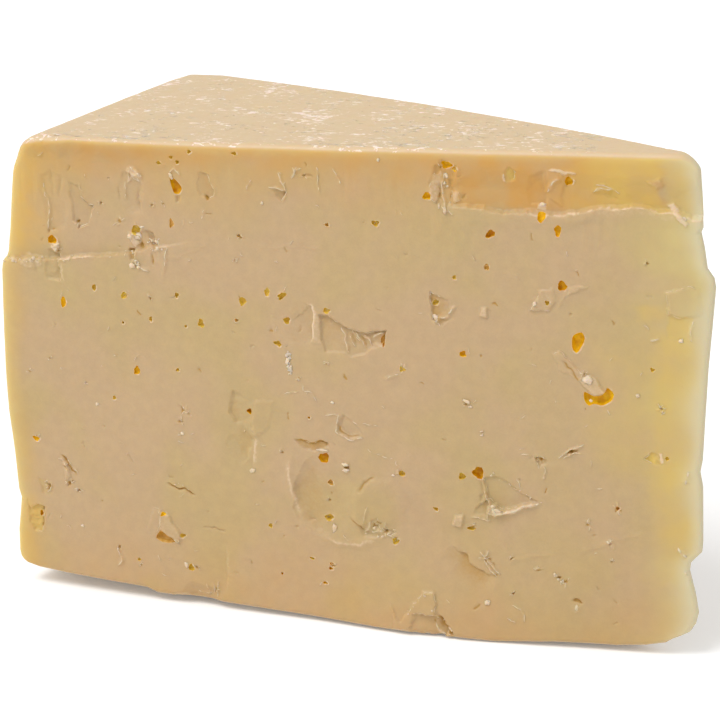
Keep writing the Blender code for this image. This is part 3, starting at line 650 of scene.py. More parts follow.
    path([(97.4, 102.6), (98.0, 100.0), (97.6, 97.4)], width=0.3, depth=0.35, warm=0.4),
    # slits and lips of the column near the rind end
    path([(26.0, 84.8), (27.6, 83.4), (28.2, 81.4)], width=0.3, depth=0.7, warm=1.0),
    path([(29.2, 84.0), (31.4, 83.0), (32.4, 81.4)], width=0.35, depth=-0.4, pale=0.8),
    path([(26.2, 79.2), (27.8, 78.0), (29.8, 77.2)], width=0.4, depth=-0.45, pale=0.9),
    path([(30.6, 81.2), (31.0, 78.4)], width=0.25, depth=0.4, warm=0.6),
    # upright ribs under the ledge
    path([(33.6, 82.4), (33.8, 78.4)], width=0.25, depth=-0.22, pale=0.45),
    path([(24.0, 81.0), (24.2, 79.6)], width=0.25, depth=-0.22, pale=0.5),
    # broken lattice on the hollow's lower right edge
    path([(80.0, 22.0), (81.4, 23.4), (81.6, 25.6)], width=0.25, depth=-0.35, pale=0.9),
    path([(81.6, 22.4), (83.4, 22.8), (86.2, 22.0)], width=0.35, depth=-0.3, pale=0.8),
    path([(84.6, 25.4), (84.8, 23.4)], width=0.2, depth=-0.25, pale=0.6),
    path([(82.0, 24.8), (83.2, 23.6)], width=0.3, depth=0.5, warm=1.0),
    path([(2.6, 77.6), (2.8, 74.6)], width=0.3, depth=0.25),
    # small strokes on the tip
    path([(139.2, 73.8), (140.6, 73.2)], width=0.22, depth=-0.2, pale=0.8),
    path([(140.8, 70.6), (143.2, 71.6)], width=0.45, depth=-0.28, pale=0.8),
    path([(149.4, 75.4), (149.8, 71.0)], width=0.3, depth=-0.2, pale=0.6),
    path([(144.0, 57.0), (143.2, 55.6), (144.6, 54.9)], width=0.2, depth=-0.2, pale=0.8),
    path([(150.0, 42.6), (149.4, 39.6)], width=0.7, depth=-0.25, pale=0.6),
    path([(148.4, 25.2), (150.2, 23.2)], width=0.7, depth=-0.3, pale=0.7),
    path([(149.8, 20.0), (151.4, 18.2)], width=0.5, depth=-0.25, pale=0.6),
    path([(122.6, 80.0), (121.6, 76.0)], width=0.3, depth=-0.2, pale=0.3),
    path([(21.2, 11.2), (22.2, 9.6), (21.4, 7.6)], width=0.4, depth=-0.22, pale=0.3),
    path([(113.0, 9.2), (115.4, 7.4), (116.2, 5.6)], width=0.3, depth=-0.25, pale=0.7),
    path([(112.0, 6.2), (114.4, 5.4)], width=0.22, depth=-0.2, pale=0.6),
]
# Small torn spots: across, up and their size.
frontNicks = [
    (19.9, 97.1, 0.6), (18.6, 91.0, 0.9), (30.4, 91.6, 1.1), (33.0, 92.1, 1.2), (22.7, 87.2, 1.8), (50.7, 86.6, 1.3),
    (50.1, 81.4, 0.9), (71.0, 59.6, 1.0), (64.4, 56.1, 0.8), (71.7, 28.7, 1.1), (88.0, 60.0, 1.5), (61.3, 38.8, 1.0),
    (135.2, 32.9, 2.3), (129.7, 28.7, 2.0), (134.9, 21.4, 0.9), (119.0, 17.9, 1.2), (124.3, 15.2, 1.9), (122.7, 16.4, 1.5),
    (112.8, 19.8, 1.0), (26.4, 8.0, 0.8), (21.6, 11.8, 1.1), (113.5, 11.7, 1.1), (9.6, 26.0, 1.6), (8.6, 29.6, 1.6),
    (3.8, 24.4, 1.4), (12.0, 24.7, 1.2), (37.6, 46.0, 2.4), (37.0, 43.6, 1.8), (36.9, 40.8, 1.3), (139.7, 86.9, 1.0),
    (101.6, 53.6, 1.4), (105.6, 47.4, 0.9), (134.4, 24.7, 1.2), (143.6, 56.0, 1.8), (127.0, 62.0, 1.0), (30.0, 71.0, 0.8),
    (12.6, 86.2, 1.6), (25.6, 98.0, 1.6), (8.0, 80.2, 1.3), (26.4, 86.4, 1.9), (31.6, 83.4, 1.6), (88.3, 36.9, 1.4),
    (86.9, 21.4, 1.3), (71.7, 24.9, 1.6), (60.6, 74.0, 1.5), (70.7, 71.6, 1.4), (24.0, 71.2, 1.1), (94.8, 75.0, 1.6),
    (72.6, 14.0, 1.2), (82.4, 24.0, 1.8), (84.8, 22.6, 1.6), (45.2, 4.6, 1.5), (40.0, 9.4, 1.5), (98.4, 104.8, 1.5),
    (95.2, 104.2, 1.5), (107.6, 18.4, 2.0), (104.0, 25.8, 1.5), (0.6, 51.6, 1.4), (1.6, 36.0, 1.2), (65.4, 101.0, 1.0),
    (118.2, 42.4, 1.5), (124.8, 44.6, 1.5), (5.6, 55.2, 1.1), (14.2, 49.8, 0.8), (81.6, 91.6, 1.1),
]


knifeSteps = {"ledge": 1.3, "ridge": 1.25, "shoulder": 0.35}
scattered = {"curls": 150, "backMarks": 70}


def frontSteps(across, up):
    # the knife's ledge near the rind and ridge near the tip, each a step back above it
    ledgeUp = followed(across, ledgeLine)
    ridgeUp = followed(across, ridgeLine)
    ledge = knifeSteps["ledge"] * ramp(up, ledgeUp - 0.25, ledgeUp + 0.3) * (1.0 - ramp(across, 18.0, 44.0))
    ridge = knifeSteps["ridge"] * ramp(up, ridgeUp - 0.35, ridgeUp + 0.5) * ramp(across, 92.0, 104.0)
    shoulder = knifeSteps["shoulder"] * hump(up, ridgeUp - 1.6, 2.6) * ramp(across, 94.0, 106.0)
    shoulder = shoulder * (0.5 + 0.5 * ramp(softNoise(across, up, 8.0, 44), -0.4, 0.5))
    return (ledge + ridge) * (1.0 - ramp(up, 99.5, 106.0)) - shoulder


def randomMarks(sheet, span, chance):
    # tiny curls and nicks that a dull knife leaves all over a cut
    for number in range(scattered["curls"]):
        across = chance.uniform(span[0], span[1])
        up = chance.uniform(span[2], span[3])
        heading = chance.uniform(0.0, 2.0 * math.pi)
        length = chance.uniform(0.5, 1.8)
        bend = chance.uniform(-1.6, 1.6)
        points = [(across, up)]
        for share in (0.33, 0.67, 1.0):
            across += 0.33 * length * math.cos(heading + bend * share)
            up += 0.33 * length * math.sin(heading + bend * share)
            points.append((across, up))
        width = chance.uniform(0.12, 0.22)
        if chance.random() < 0.6:
            score(sheet, points, width, -0.16, pale=chance.uniform(0.3, 0.8))
        else:
            # a groove with brown painted shade
            score(sheet, points, width, 0.25, warm=chance.uniform(0.3, 0.9))


def frontSheet():
    sheet = newSheet(-9.0, 158.0, -1.0, 113.0, 100)
    sheet["depth"] += frontSteps(sheet["across"], sheet["up"])
    for place in frontTears:
        hollow(sheet, place)
    for draw, plans in ((facet, frontFacets), (peel, frontPeels), (score, frontScores)):
        for points, marks in plans:
            draw(sheet, points, **marks)
    chance = random.Random(seed + 3)
    for place in frontNicks:
        nick(sheet, place, chance)
    randomMarks(sheet, (2.0, 140.0, 4.0, 104.0), chance)
    # the broken lip of the ledge, and the crisp pale edge of the ridge, with a painted band of light below it and a
    # painted shadow line above it
    broken = sheet["broken"]
    across = sheet["across"]
    away = sheet["up"] - followed(across, ledgeLine)
    gaps = ramp(softNoise(across, 0.0 * across, 3.1, 47), -0.5, 0.1)
    lip = np.exp(-((away + 0.05) / 0.3) ** 2) * (1.0 - ramp(across, 26.0, 42.0)) * (0.25 + 0.75 * gaps)
    sheet["depth"] += 0.35 * lip * (0.4 - broken)
    sheet["pale"] = np.maximum(sheet["pale"], lip * (0.25 + 0.75 * broken))
    away = sheet["up"] - followed(across, ridgeLine) - 0.45 * softNoise(across, 0.0 * across, 2.4, 48)
    crest = np.exp(-((away + 0.2) / 0.26) ** 2) * ramp(across, 100.0, 122.0)
    paintedLightBand = np.exp(-((away + 1.0) / 1.4) ** 2) * ramp(across, 120.0, 132.0)
    sheet["depth"] -= 0.08 * crest * broken
    sheet["pale"] = np.maximum(sheet["pale"], np.maximum(0.8 * crest * (0.2 + 0.8 * broken), 0.3 * paintedLightBand))
    # a thin painted shadow line just above the ridge
    shade = 0.3 * np.exp(-((away - 0.5) / 0.3) ** 2) * ramp(across, 104.0, 122.0)
    sheet["warm"] = np.maximum(sheet["warm"], shade)
    finishSheet(sheet)
    litEyeRims(sheet, [outline for outline, depth, finish in frontWells()])
    return sheet


def frontForm(across, up):
    # the slow shape of the cut: belly, foot and waves
    middle = np.sin(np.pi * np.clip(across / wedge["cutLength"], 0.0, 1.0))
    belly = wedge["belly"] * middle * (1.0 - ramp(up, *wedge["bellyUp"]))
    foot = wedge["footBulge"] * hump(across, wedge["footBulgeAcross"], wedge["footBulgeReach"])
    foot = foot * (1.0 - ramp(up, 0.0, wedge["footBulgeUp"]))
    return waves(across, up, 3.0) - belly - foot


def frontDeepAt(sheets, across, up):
    here = np.array([float(across)]), np.array([float(up)])
    return float(frontForm(*here)[0] + sampled(sheets["front"], "depth", *here)[0])


# Torn hollows of the back cut.
backTears = [
    (44.0, 38.0, 11.0, 8.5, 1.8, 160.0),
    (92.0, 74.0, 8.5, 5.5, 1.4, 30.0),
    (112.0, 30.0, 6.5, 7.5, 1.2, 220.0),
    (30.0, 84.0, 5.5, 4.8, 1.1, 90.0),
    (70.0, 6.0, 8.5, 4.0, 1.6, 250.0),
    (66.0, 58.0, 3.0, 4.2, 0.8, 140.0),
    (18.0, 24.0, 3.6, 2.6, 0.8, 330.0),
]


def scatterMarks(sheet, span, chance):
    # lips, short slits and small steps, like those of the front cut
    for number in range(scattered["backMarks"]):
        across = chance.uniform(span[0], span[1])
        up = chance.uniform(span[2], span[3])
        turn = chance.choice((0.15, 0.5, 1.35, 1.6, 2.6)) + chance.uniform(-0.3, 0.3)
        length = chance.uniform(1.2, 4.5)
        bend = chance.uniform(-0.5, 0.5)
        points = []
        for share in (0.0, 0.35, 0.7, 1.0):
            heading = turn + bend * share
            points.append((across + length * share * math.cos(heading),
                           up + length * share * math.sin(heading)))
        kind = chance.random()
        if kind < 0.45:
            score(sheet, points, chance.uniform(0.18, 0.4), -chance.uniform(0.12, 0.4),
                  pale=chance.uniform(0.3, 0.8))
        elif kind < 0.75:
            # a groove with brown painted shade
            score(sheet, points, chance.uniform(0.18, 0.3), chance.uniform(0.2, 0.6),
                  warm=chance.uniform(0.3, 0.8))
        else:
            # a step with brown painted shade below it
            peel(sheet, points, chance.uniform(0.25, 0.7), chance.uniform(1.0, 3.0), pale=0.4, warm=0.4)


def backSheet():
    chance = random.Random(seed + 1)
    sheet = newSheet(-9.0, 158.0, -1.0, 113.0, 200)
    for place in backTears:
        hollow(sheet, place)
    # a knife ledge here too, low and long
    across, up = sheet["across"], sheet["up"]
    ledgeUp = 62.0 + 0.1 * across
    step = 0.8 * ramp(up, ledgeUp - 0.3, ledgeUp + 0.4) * (1.0 - ramp(up, ledgeUp + 2.0, ledgeUp + 26.0))
    fade = ramp(across, 4.0, 22.0) * (1.0 - ramp(across, 70.0, 104.0))
    sheet["depth"] += step * fade
    lip = np.exp(-((up - ledgeUp) / 0.6) ** 2) * fade
    sheet["pale"] = np.maximum(sheet["pale"], 0.5 * lip)
    scatterMarks(sheet, (6.0, 140.0, 6.0, 100.0), chance)
    for number in range(len(frontNicks)):
        place = (chance.uniform(5.0, 140.0), chance.uniform(5.0, 102.0), chance.uniform(0.8, 2.2))
        nick(sheet, place, chance)
    randomMarks(sheet, (4.0, 140.0, 4.0, 104.0), chance)
    finishSheet(sheet)
    return sheet


def faceSheet(left, right, low, high, layer, dimples):
    # the wheel's own faces: smooth, with shallow dimples from the mould
    sheet = newSheet(left, right, low, high, layer)
    across, up = sheet["plainAcross"], sheet["plainUp"]
    pits = np.clip(softNoise(across, up, 1.7, layer + 5) - 0.55, 0.0, 1.0)
    sheet["depth"] += dimples * pits + 0.06 * roughNoise(across, up, 7.0, layer + 9, 3)
    sheet["depth"] += 0.02 * roughNoise(across, up, 1.1, layer + 13, 2)
    return sheet


waveGrids = {}


def waves(across, up, layer):
    # slow waves of a cut, worked out once on a coarse grid and read between its points
    step = 2.0
    columns = np.arange(-12.0, 162.0, step)
    rows = np.arange(-4.0, 118.0, step)
    length = wedge["waveLength"]
    if layer not in waveGrids:
        made = [[noise.noise(Vector((a / length, u / length, layer))) for a in columns] for u in rows]
        waveGrids[layer] = np.array(made)
    return wedge["wave"] * between(waveGrids[layer], (across - columns[0]) / step, (up - rows[0]) / step)


def wedgeDepth(along):
    widest = wedge["cutLength"] * math.sin(wedge["angle"])
    return widest + along * (wedge["tipThickness"] - widest)


def topHeight(along, back):
    frontEdge = wedge["heightAtRind"] + (wedge["heightAtTip"] - wedge["heightAtRind"]) * along ** 1.4
    backEdge = wedge["heightAtBack"] + (wedge["heightAtTip"] - wedge["heightAtBack"]) * along
    backEdge = backEdge + wedge["crown"] * np.sin(np.pi * along)
    fromRind = along * wedge["cutLength"]
    fromTip = (1.0 - along) * wedge["cutLength"]
    drop = 1.2 * np.clip(1.0 - fromRind / 5.0, 0.0, 1.0) ** 2 * (1.0 - back) ** 6
    drop = drop + 2.6 * np.clip(1.0 - fromTip / 4.5, 0.0, 1.0) ** 2.5
    return frontEdge + (backEdge - frontEdge) * back - drop


def underLift(across, deep):
    # the chunk stands flat but for the rind corner and the tip
    lift = followed(across, footOutline)
    nearTip = ramp(across, 100.0, 122.0)
    lift = lift * np.maximum(1.0 - ramp(deep, 0.0, 24.0), nearTip)
    return np.where(lift > 0.05, lift, 0.0)


def wedgePoints(along, back, high, sheets):
    cutLength = wedge["cutLength"]
    deepAt = back * wedgeDepth(along)
    lift = underLift(along * cutLength, deepAt)
    face = topHeight(along, back) - sampled(sheets["top"], "depth", along * cutLength, deepAt)
    up = lift + high * (face - lift)
    rind = followed(up, rindOutline)
    tip = followed(up, tipOutline)
    across = rind + along * (tip - rind)
    frontDeep = frontForm(across, up) + sampled(sheets["front"], "depth", across, up)
    turn = wedge["angle"]
    cornerAcross = cutLength - cutLength * math.cos(turn) + 0.5 * rind
    cornerDeep = cutLength * math.sin(turn)
    backAcross = along * cutLength
    middle = np.sin(np.pi * np.clip(along, 0.0, 1.0))
    inward = sampled(sheets["back"], "depth", backAcross, up) - wedge["backBow"] * middle
    inward = (inward + waves(backAcross, up, 9.0)) * (1.0 - ramp(along, 0.9, 1.0))
    x = cornerAcross + along * (tip - cornerAcross) - inward * math.sin(turn)
    y = cornerDeep + along * (wedge["tipThickness"] - cornerDeep) - inward * math.cos(turn)
    planAcross = across + back * (x - across)
    planDeep = frontDeep + back * (y - frontDeep)
    bow = wedge["rindBow"] * np.sin(np.pi * back) - sampled(sheets["rind"], "depth", deepAt, up)
    planAcross = planAcross - bow * (1.0 - along) ** 24
    return planAcross, planDeep, up


def dividedCube():
    # unit cube cut into even cells, then each cell into finer ones without rounding
    mesh = bmesh.new()
    bmesh.ops.create_cube(mesh, size=1.0, matrix=Matrix.Translation((0.5, 0.5, 0.5)))
    for axis, cells in enumerate(wedge["cells"]):
        alongAxis = [e for e in mesh.edges if abs(e.verts[0].co[axis] - e.verts[1].co[axis]) > 0.5]
        bmesh.ops.subdivide_edges(mesh, edges=alongAxis, cuts=cells - 1, use_grid_fill=True)
    data = bpy.data.meshes.new("cheeseChunk")
    mesh.to_mesh(data)
    mesh.free()
    chunk = bpy.data.objects.new("cheeseChunk", data)
    bpy.context.scene.collection.objects.link(chunk)
    finer = chunk.modifiers.new("finer", "SUBSURF")
    finer.subdivision_type = "SIMPLE"
    finer.levels = finer.render_levels = wedge["subdivisions"]
    applyModifiers(chunk)
    return chunk


def applyModifiers(thing):
    depsgraph = bpy.context.evaluated_depsgraph_get()
    made = bpy.data.meshes.new_from_object(thing.evaluated_get(depsgraph))
    old = thing.data
    thing.modifiers.clear()
    thing.data = made
    made.name = thing.name
    bpy.data.meshes.remove(old)


def readPoints(mesh):
    points = np.empty(len(mesh.vertices) * 3)
    mesh.vertices.foreach_get("co", points)
    return points.reshape(-1, 3)


def onFrontCut(mesh):
    # the vertices that lie within a few millimetres of the front cut
    points = readPoints(mesh) / mm
    reach = 3.2 - 2.6 * ramp(points[:, 0] + wedge["middleAcross"], 120.0, 150.0)
    return points[:, 1] + wedge["middleDeep"] < reach


def triangleCounts(chunk):
    front = onFrontCut(chunk.data)
    counts = [0, 0]
    for polygon in chunk.data.polygons:
        counts[0 if front[polygon.vertices[0]] else 1] += len(polygon.vertices) - 2
    return counts


def thinOut(chunk, front, target):
    # fewer triangles where the surface is plain, on the front cut alone or on all but it
    chosen = onFrontCut(chunk.data) == front
    group = chunk.vertex_groups.new(name="thinned")
    group.add([int(index) for index in np.flatnonzero(chosen)], 1.0, "REPLACE")
    thin = chunk.modifiers.new("thin", "DECIMATE")
    thin.vertex_group = group.name
    thin.ratio = min(1.0, target / sum(triangleCounts(chunk)))
    applyModifiers(chunk)
    chunk.vertex_groups.clear()


def toFrame(across, deep, up):
    # millimetres of the wedge to metres of the part
    places = [(across - wedge["middleAcross"]) * mm, (deep - wedge["middleDeep"]) * mm, up * mm]
    return np.stack(places, axis=-1)


def shapeChunk(chunk, sheets):
    corner = readPoints(chunk.data)
    length, height = wedge["cutLength"], wedge["heightAtRind"]
    across = corner[:, 0] * length
    depth = wedgeDepth(corner[:, 0])
    place = np.stack([across, corner[:, 1] * depth, corner[:, 2] * height], axis=1)
    size = np.stack([np.full_like(depth, length), depth, np.full_like(depth, height)], axis=1)
    # the wheel's own corners are rounder than the cut edges
    nearRind = 1.0 - ramp(across, 3.0, 12.0)
    nearTop = ramp(place[:, 2], height - 9.0, height - 3.0)
    nearBack = ramp(place[:, 1], depth - 12.0, depth - 5.0)
    rounder = np.maximum(wedge["rimRadius"] * nearTop, wedge["cornerRadius"] * nearBack)
    radius = wedge["edgeRadius"] + nearRind * rounder
    radius = np.minimum(radius, 0.45 * depth)[:, None]
    inner = np.clip(place, radius, size - radius)
    outward = place - inner
    place = inner + outward / np.linalg.norm(outward, axis=1)[:, None] * radius
    share = place / size
    planAcross, planDeep, up = wedgePoints(share[:, 0], share[:, 1], share[:, 2], sheets)
    chunk.data.vertices.foreach_set("co", toFrame(planAcross, planDeep, up).ravel())
    chunk.data.update()


# Eyes of the front cut: across, up, width, height, tilt in degrees, and the finish.
frontEyes = [
    (9.5, 68.4, 1.3, 2.2, 0, "amber"), (16.9, 72.4, 1.1, 1.3, 0, "olive"), (23.9, 71.1, 1.6, 1.5, 0, "olive"),
    (36.4, 72.3, 0.9, 1.2, 0, "olive"), (42.0, 66.4, 1.5, 2.0, 10, "olive"), (26.6, 54.1, 1.4, 2.0, -20, "amber"),
    (30.1, 66.3, 0.8, 1.2, 0, "olive"), (21.1, 47.3, 1.0, 0.8, 0, "olive"), (1.4, 35.6, 1.7, 1.1, -15, "amber"),
    (36.4, 55.3, 0.8, 0.8, 0, "olive"), (51.6, 72.1, 1.5, 1.8, 0, "olive"), (57.2, 74.6, 1.1, 1.8, 0, "olive"),
    (60.5, 74.0, 2.2, 1.4, 35, "olive"), (61.7, 68.7, 1.5, 1.5, 0, "olive"), (59.8, 63.4, 1.8, 1.2, -25, "olive"),
    (70.7, 71.6, 1.5, 1.3, 0, "olive"), (83.3, 65.9, 1.1, 2.2, 0, "tan"), (87.8, 60.1, 1.2, 1.3, 0, "olive"),
    (70.4, 38.6, 2.4, 2.1, 0, "brown"), (71.9, 32.9, 1.4, 1.1, -30, "tan"), (71.6, 24.8, 1.9, 1.4, 15, "olive"),
    (88.2, 36.8, 1.4, 1.3, 0, "olive"), (86.9, 21.1, 1.5, 1.4, 0, "olive"), (58.1, 21.6, 1.0, 1.0, 0, "olive"),
    (70.9, 9.7, 1.0, 0.6, 0, "brown"), (67.8, 15.1, 1.2, 0.6, -20, "olive"), (72.4, 14.4, 1.0, 0.6, -10, "brown"),
    (72.2, 13.3, 1.0, 0.6, -15, "brown"), (95.8, 29.4, 1.2, 0.7, -25, "olive"), (122.0, 80.9, 2.0, 2.0, 0, "brown"),
    (119.0, 77.2, 0.9, 1.0, 0, "olive"), (101.0, 64.5, 1.6, 1.4, 0, "amber"), (141.6, 64.3, 0.9, 0.9, 0, "olive"),
    (105.1, 38.5, 2.4, 2.5, 0, "brown"), (101.5, 37.3, 1.6, 1.4, 0, "olive"), (103.7, 25.7, 1.9, 0.9, 0, "olive"),
    (6.5, 82.0, 2.3, 2.1, 0, "amber"), (26.7, 85.8, 2.3, 2.2, 0, "olive"), (106.4, 91.0, 2.1, 1.6, 30, "brown"),
    (117.2, 95.7, 1.7, 3.0, 8, "amber"), (120.8, 92.7, 1.5, 2.3, -8, "amber"), (122.6, 103.3, 1.7, 2.0, 0, "amber"),
    (81.3, 91.5, 1.6, 1.3, 0, "olive"), (92.5, 98.1, 1.9, 1.8, 0, "amber"), (96.5, 105.0, 2.4, 1.6, 0, "amber"),
    (98.3, 104.2, 1.3, 1.0, 0, "amber"), (39.6, 104.3, 0.9, 0.8, 0, "olive"), (35.4, 102.8, 0.9, 0.8, 0, "olive"),
    (32.4, 101.3, 0.9, 0.8, 0, "olive"), (36.8, 101.8, 0.9, 0.8, 0, "olive"), (49.8, 104.6, 1.3, 0.7, 0, "olive"),
    (35.1, 88.1, 1.1, 1.8, 0, "tan"), (98.8, 81.1, 0.9, 0.9, 0, "olive"), (32.6, 21.4, 1.3, 0.8, 20, "amber"),
    (37.1, 16.7, 1.2, 1.0, 0, "olive"), (39.0, 9.2, 1.3, 1.8, 20, "olive"), (1.9, 17.5, 0.8, 1.4, 0, "brown"),
    (94.8, 75.2, 1.4, 1.1, 30, "olive"), (145.4, 45.1, 0.9, 0.9, 0, "olive"), (60.8, 10.6, 0.6, 0.6, 0, "brown"),
    (67.0, 47.4, 0.6, 0.5, 0, "brown"), (23.6, 64.9, 0.6, 0.6, 0, "olive"), (38.4, 65.4, 0.7, 0.6, 0, "olive"),
    (26.3, 9.6, 0.9, 0.6, 0, "olive"), (50.7, 86.6, 0.9, 0.8, 0, "tan"), (105.8, 83.8, 1.0, 1.4, 0, "tan"),
    (50.3, 67.8, 0.8, 0.7, 0, "tan"), (70.6, 90.4, 0.9, 0.7, 0, "tan"), (135.3, 33.0, 0.9, 0.7, 35, "tan"),
]
# Those with a shape of their own: the outline, the depth and the finish.
shapedEyes = [
    ([(34.7, 98.8), (36.2, 98.0), (37.9, 96.2), (37.1, 94.7), (36.0, 94.5), (35.2, 96.4)], 1.2, "brown"),
    ([(124.4, 70.4), (126.5, 71.5), (127.4, 69.9), (125.7, 66.5), (124.5, 67.5)], 1.7, "amber"),
    ([(127.3, 58.5), (128.3, 58.2), (129.4, 57.6), (131.0, 57.8), (131.9, 58.8), (132.3, 59.9), (133.9, 58.5),
      (133.4, 56.9), (131.4, 55.6), (129.6, 56.0), (128.4, 55.3), (127.4, 56.6)], 1.5, "amber"),
    ([(31.9, 17.7), (30.3, 15.4), (31.7, 14.5), (33.6, 14.4), (35.6, 15.0), (34.0, 16.0)], 1.5, "tan"),
    ([(52.1, 47.4), (53.6, 48.3), (53.7, 46.5)], 1.1, "brown"),
]
eyeCut = {
    "depthShare": 0.6,
    "leastDepth": 0.6,
    "unevenness": 0.26,
    "ringPoints": 18,
    "mouth": (1.06, 1.6),      # how much wider it is above the cut, and how high
    "narrowing": ((1.0, 0.0), (0.97, 0.4), (0.8, 0.8), (0.45, 1.0)),      # width at a share of the depth
}
hiddenEyes = {"count": 64, "widths": (0.8, 3.2)}


def smoothed(outline, rounds=2):
    for number in range(rounds):
        cut = []
        for (a0, u0), (a1, u1) in zip(outline, outline[1:] + outline[:1]):
            cut.append((0.8 * a0 + 0.2 * a1, 0.8 * u0 + 0.2 * u1))
            cut.append((0.2 * a0 + 0.8 * a1, 0.2 * u0 + 0.8 * u1))
        outline = cut
    return outline


def eyeOutline(across, up, width, height, tilt, layer):
    # a rounded, slightly angular opening
    turn = math.radians(tilt)
    points = []
    for number in range(eyeCut["ringPoints"]):
        angle = 2.0 * math.pi * number / eyeCut["ringPoints"]
        way = Vector((math.cos(angle), math.sin(angle), layer))
        wobble = noise.noise(way * 1.4) * 1.6 + 0.5 * math.cos(3.0 * angle + layer)
        reach = 1.0 + eyeCut["unevenness"] * wobble
        aside, above = 0.5 * width * reach * way.x, 0.5 * height * reach * way.y
        points.append((across + aside * math.cos(turn) - above * math.sin(turn),
                       up + aside * math.sin(turn) + above * math.cos(turn)))
    return points


def wellDepth(width, height):
    return max(eyeCut["leastDepth"], eyeCut["depthShare"] * min(width, height))


def frontWells():
    # outline, depth and finish of every eye of the front cut
    wells = []
    for number, (across, up, width, height, tilt, finish) in enumerate(frontEyes):
        outline = eyeOutline(across, up, width, height, tilt, 3.7 * number)
        wells.append((outline, wellDepth(width, height), finish))
    return wells + [(smoothed(outline), depth, finish) for outline, depth, finish in shapedEyes]


def skinRings(mesh, rings):
    # a closed skin over a row of rings
    faces = [mesh.faces.new(rings[0][::-1]), mesh.faces.new(rings[-1])]
    count = len(rings[0])
    for near, far in zip(rings, rings[1:]):
        for number in range(count):
            following = (number + 1) % count
            faces.append(mesh.faces.new((near[number], near[following], far[following], far[number])))
    for face in faces:
        face.smooth = True
    return faces


def cutEye(mesh, outline, depth, toSurface, slot):
    # a well that narrows inward; toSurface turns (across, up, middle, inward) into a place
    middle = middleOf(outline)
    wider, height = eyeCut["mouth"]
    levels = [(wider, -height)] + [(width, share * depth) for width, share in eyeCut["narrowing"]]
    rings = []
    for share, inward in levels:
        ring = []
        for a, u in outline:
            a, u = middle[0] + (a - middle[0]) * share, middle[1] + (u - middle[1]) * share
            ring.append(mesh.verts.new(toSurface(a, u, middle, inward)))
        rings.append(ring)
    for face in skinRings(mesh, rings):
        face.material_index = slot


eyeSlots = ["amber", "olive", "brown", "tan"]


def eyeCutters(sheets):
    chance = random.Random(seed)
    mesh = bmesh.new()

    def onFront(across, up, middle, inward):
        return Vector(toFrame(across, frontDeepAt(sheets, *middle) + inward, up))

    turn = wedge["angle"]
    fromTip = Vector((-math.cos(turn), math.sin(turn)))

    def onBack(across, up, middle, inward):
        # across here is the distance from the rind end along the back cut
        here = np.array([middle[0]]), np.array([middle[1]])
        along = middle[0] / wedge["cutLength"]
        sunk = sampled(sheets["back"], "depth", *here)[0] + waves(*here, 9.0)[0]
        sunk -= wedge["backBow"] * math.sin(math.pi * along)
        place = Vector((wedge["cutLength"], 0.0)) + fromTip * (wedge["cutLength"] - across)
        place += Vector((-math.sin(turn), -math.cos(turn))) * (sunk + inward - wedge["tipThickness"] * along)
        rind = followed(up, rindOutline)
        return Vector(toFrame(place.x + 0.5 * rind * (1.0 - along), place.y, up))

    for outline, depth, finish in frontWells():
        cutEye(mesh, outline, depth, onFront, eyeSlots.index(finish))
    narrowest, widest = hiddenEyes["widths"]
    taken = []
    while len(taken) < hiddenEyes["count"]:
        across = chance.uniform(10.0, 128.0)
        up = chance.uniform(8.0, 100.0)
        width = narrowest + (widest - narrowest) * chance.random() ** 2.2
        if any(math.dist((across, up), other[:2]) < 2.0 + 0.8 * (width + other[2]) for other in taken):
            continue
        taken.append((across, up, width))
        height = width * chance.uniform(0.75, 1.4)
        outline = eyeOutline(across, up, width, height, chance.uniform(-35.0, 35.0), 5.3 * len(taken))
        # seen from behind the outline runs the other way round
        cutEye(mesh, outline[::-1], wellDepth(width, height), onBack, chance.choice((0, 0, 1, 1, 2)))
    data = bpy.data.meshes.new("eyeCutters")
    bmesh.ops.recalc_face_normals(mesh, faces=mesh.faces)
    mesh.to_mesh(data)
    mesh.free()
    cutters = bpy.data.objects.new("eyeCutters", data)
    bpy.context.scene.collection.objects.link(cutters)
    return cutters


def linear(red, green, blue):
    # a colour as seen on screen, 0 to 255, to the linear value that a socket takes
    values = []
    for value in (red, green, blue):
        value /= 255.0
        values.append(value / 12.92 if value <= 0.04045 else ((value + 0.055) / 1.055) ** 2.4)
    return (*values, 1.0)


def link(tree, source, target):
    tree.links.new(source, target)


def mathNode(tree, kind, first, second=None, third=None, clamp=False):
    node = tree.nodes.new("ShaderNodeMath")
    node.operation = kind
    node.use_clamp = clamp
    for socket, value in zip(node.inputs, (first, second, third)):
        if value is None:
            continue
        if isinstance(value, (int, float)):
            socket.default_value = value
        else:
            link(tree, value, socket)
    return node.outputs[0]


def mixedColour(tree, share, first, second):
    node = tree.nodes.new("ShaderNodeMix")
    node.data_type = "RGBA"
    for socket, value in ((node.inputs[0], share), (node.inputs[6], first), (node.inputs[7], second)):
        if isinstance(value, (int, float, tuple)):
            socket.default_value = value
        else:
            link(tree, value, socket)
    return node.outputs[2]


def noiseNode(tree, vector, scale, detail=3.0, roughness=0.5, distortion=0.0):
    node = tree.nodes.new("ShaderNodeTexNoise")
    if isinstance(scale, float):
        node.inputs["Scale"].default_value = scale
    else:
        link(tree, scale, node.inputs["Scale"])
    node.inputs["Detail"].default_value = detail
    node.inputs["Roughness"].default_value = roughness
    node.inputs["Distortion"].default_value = distortion
    link(tree, vector, node.inputs["Vector"])
    return node.outputs["Fac"]


def spread(tree, value, low, high, toLow=0.0, toHigh=1.0):
    node = tree.nodes.new("ShaderNodeMapRange")
    node.interpolation_type = "SMOOTHSTEP"
    node.inputs["From Min"].default_value = low
    node.inputs["From Max"].default_value = high
    node.inputs["To Min"].default_value = toLow
    node.inputs["To Max"].default_value = toHigh
    link(tree, value, node.inputs["Value"])
    return node.outputs["Result"]


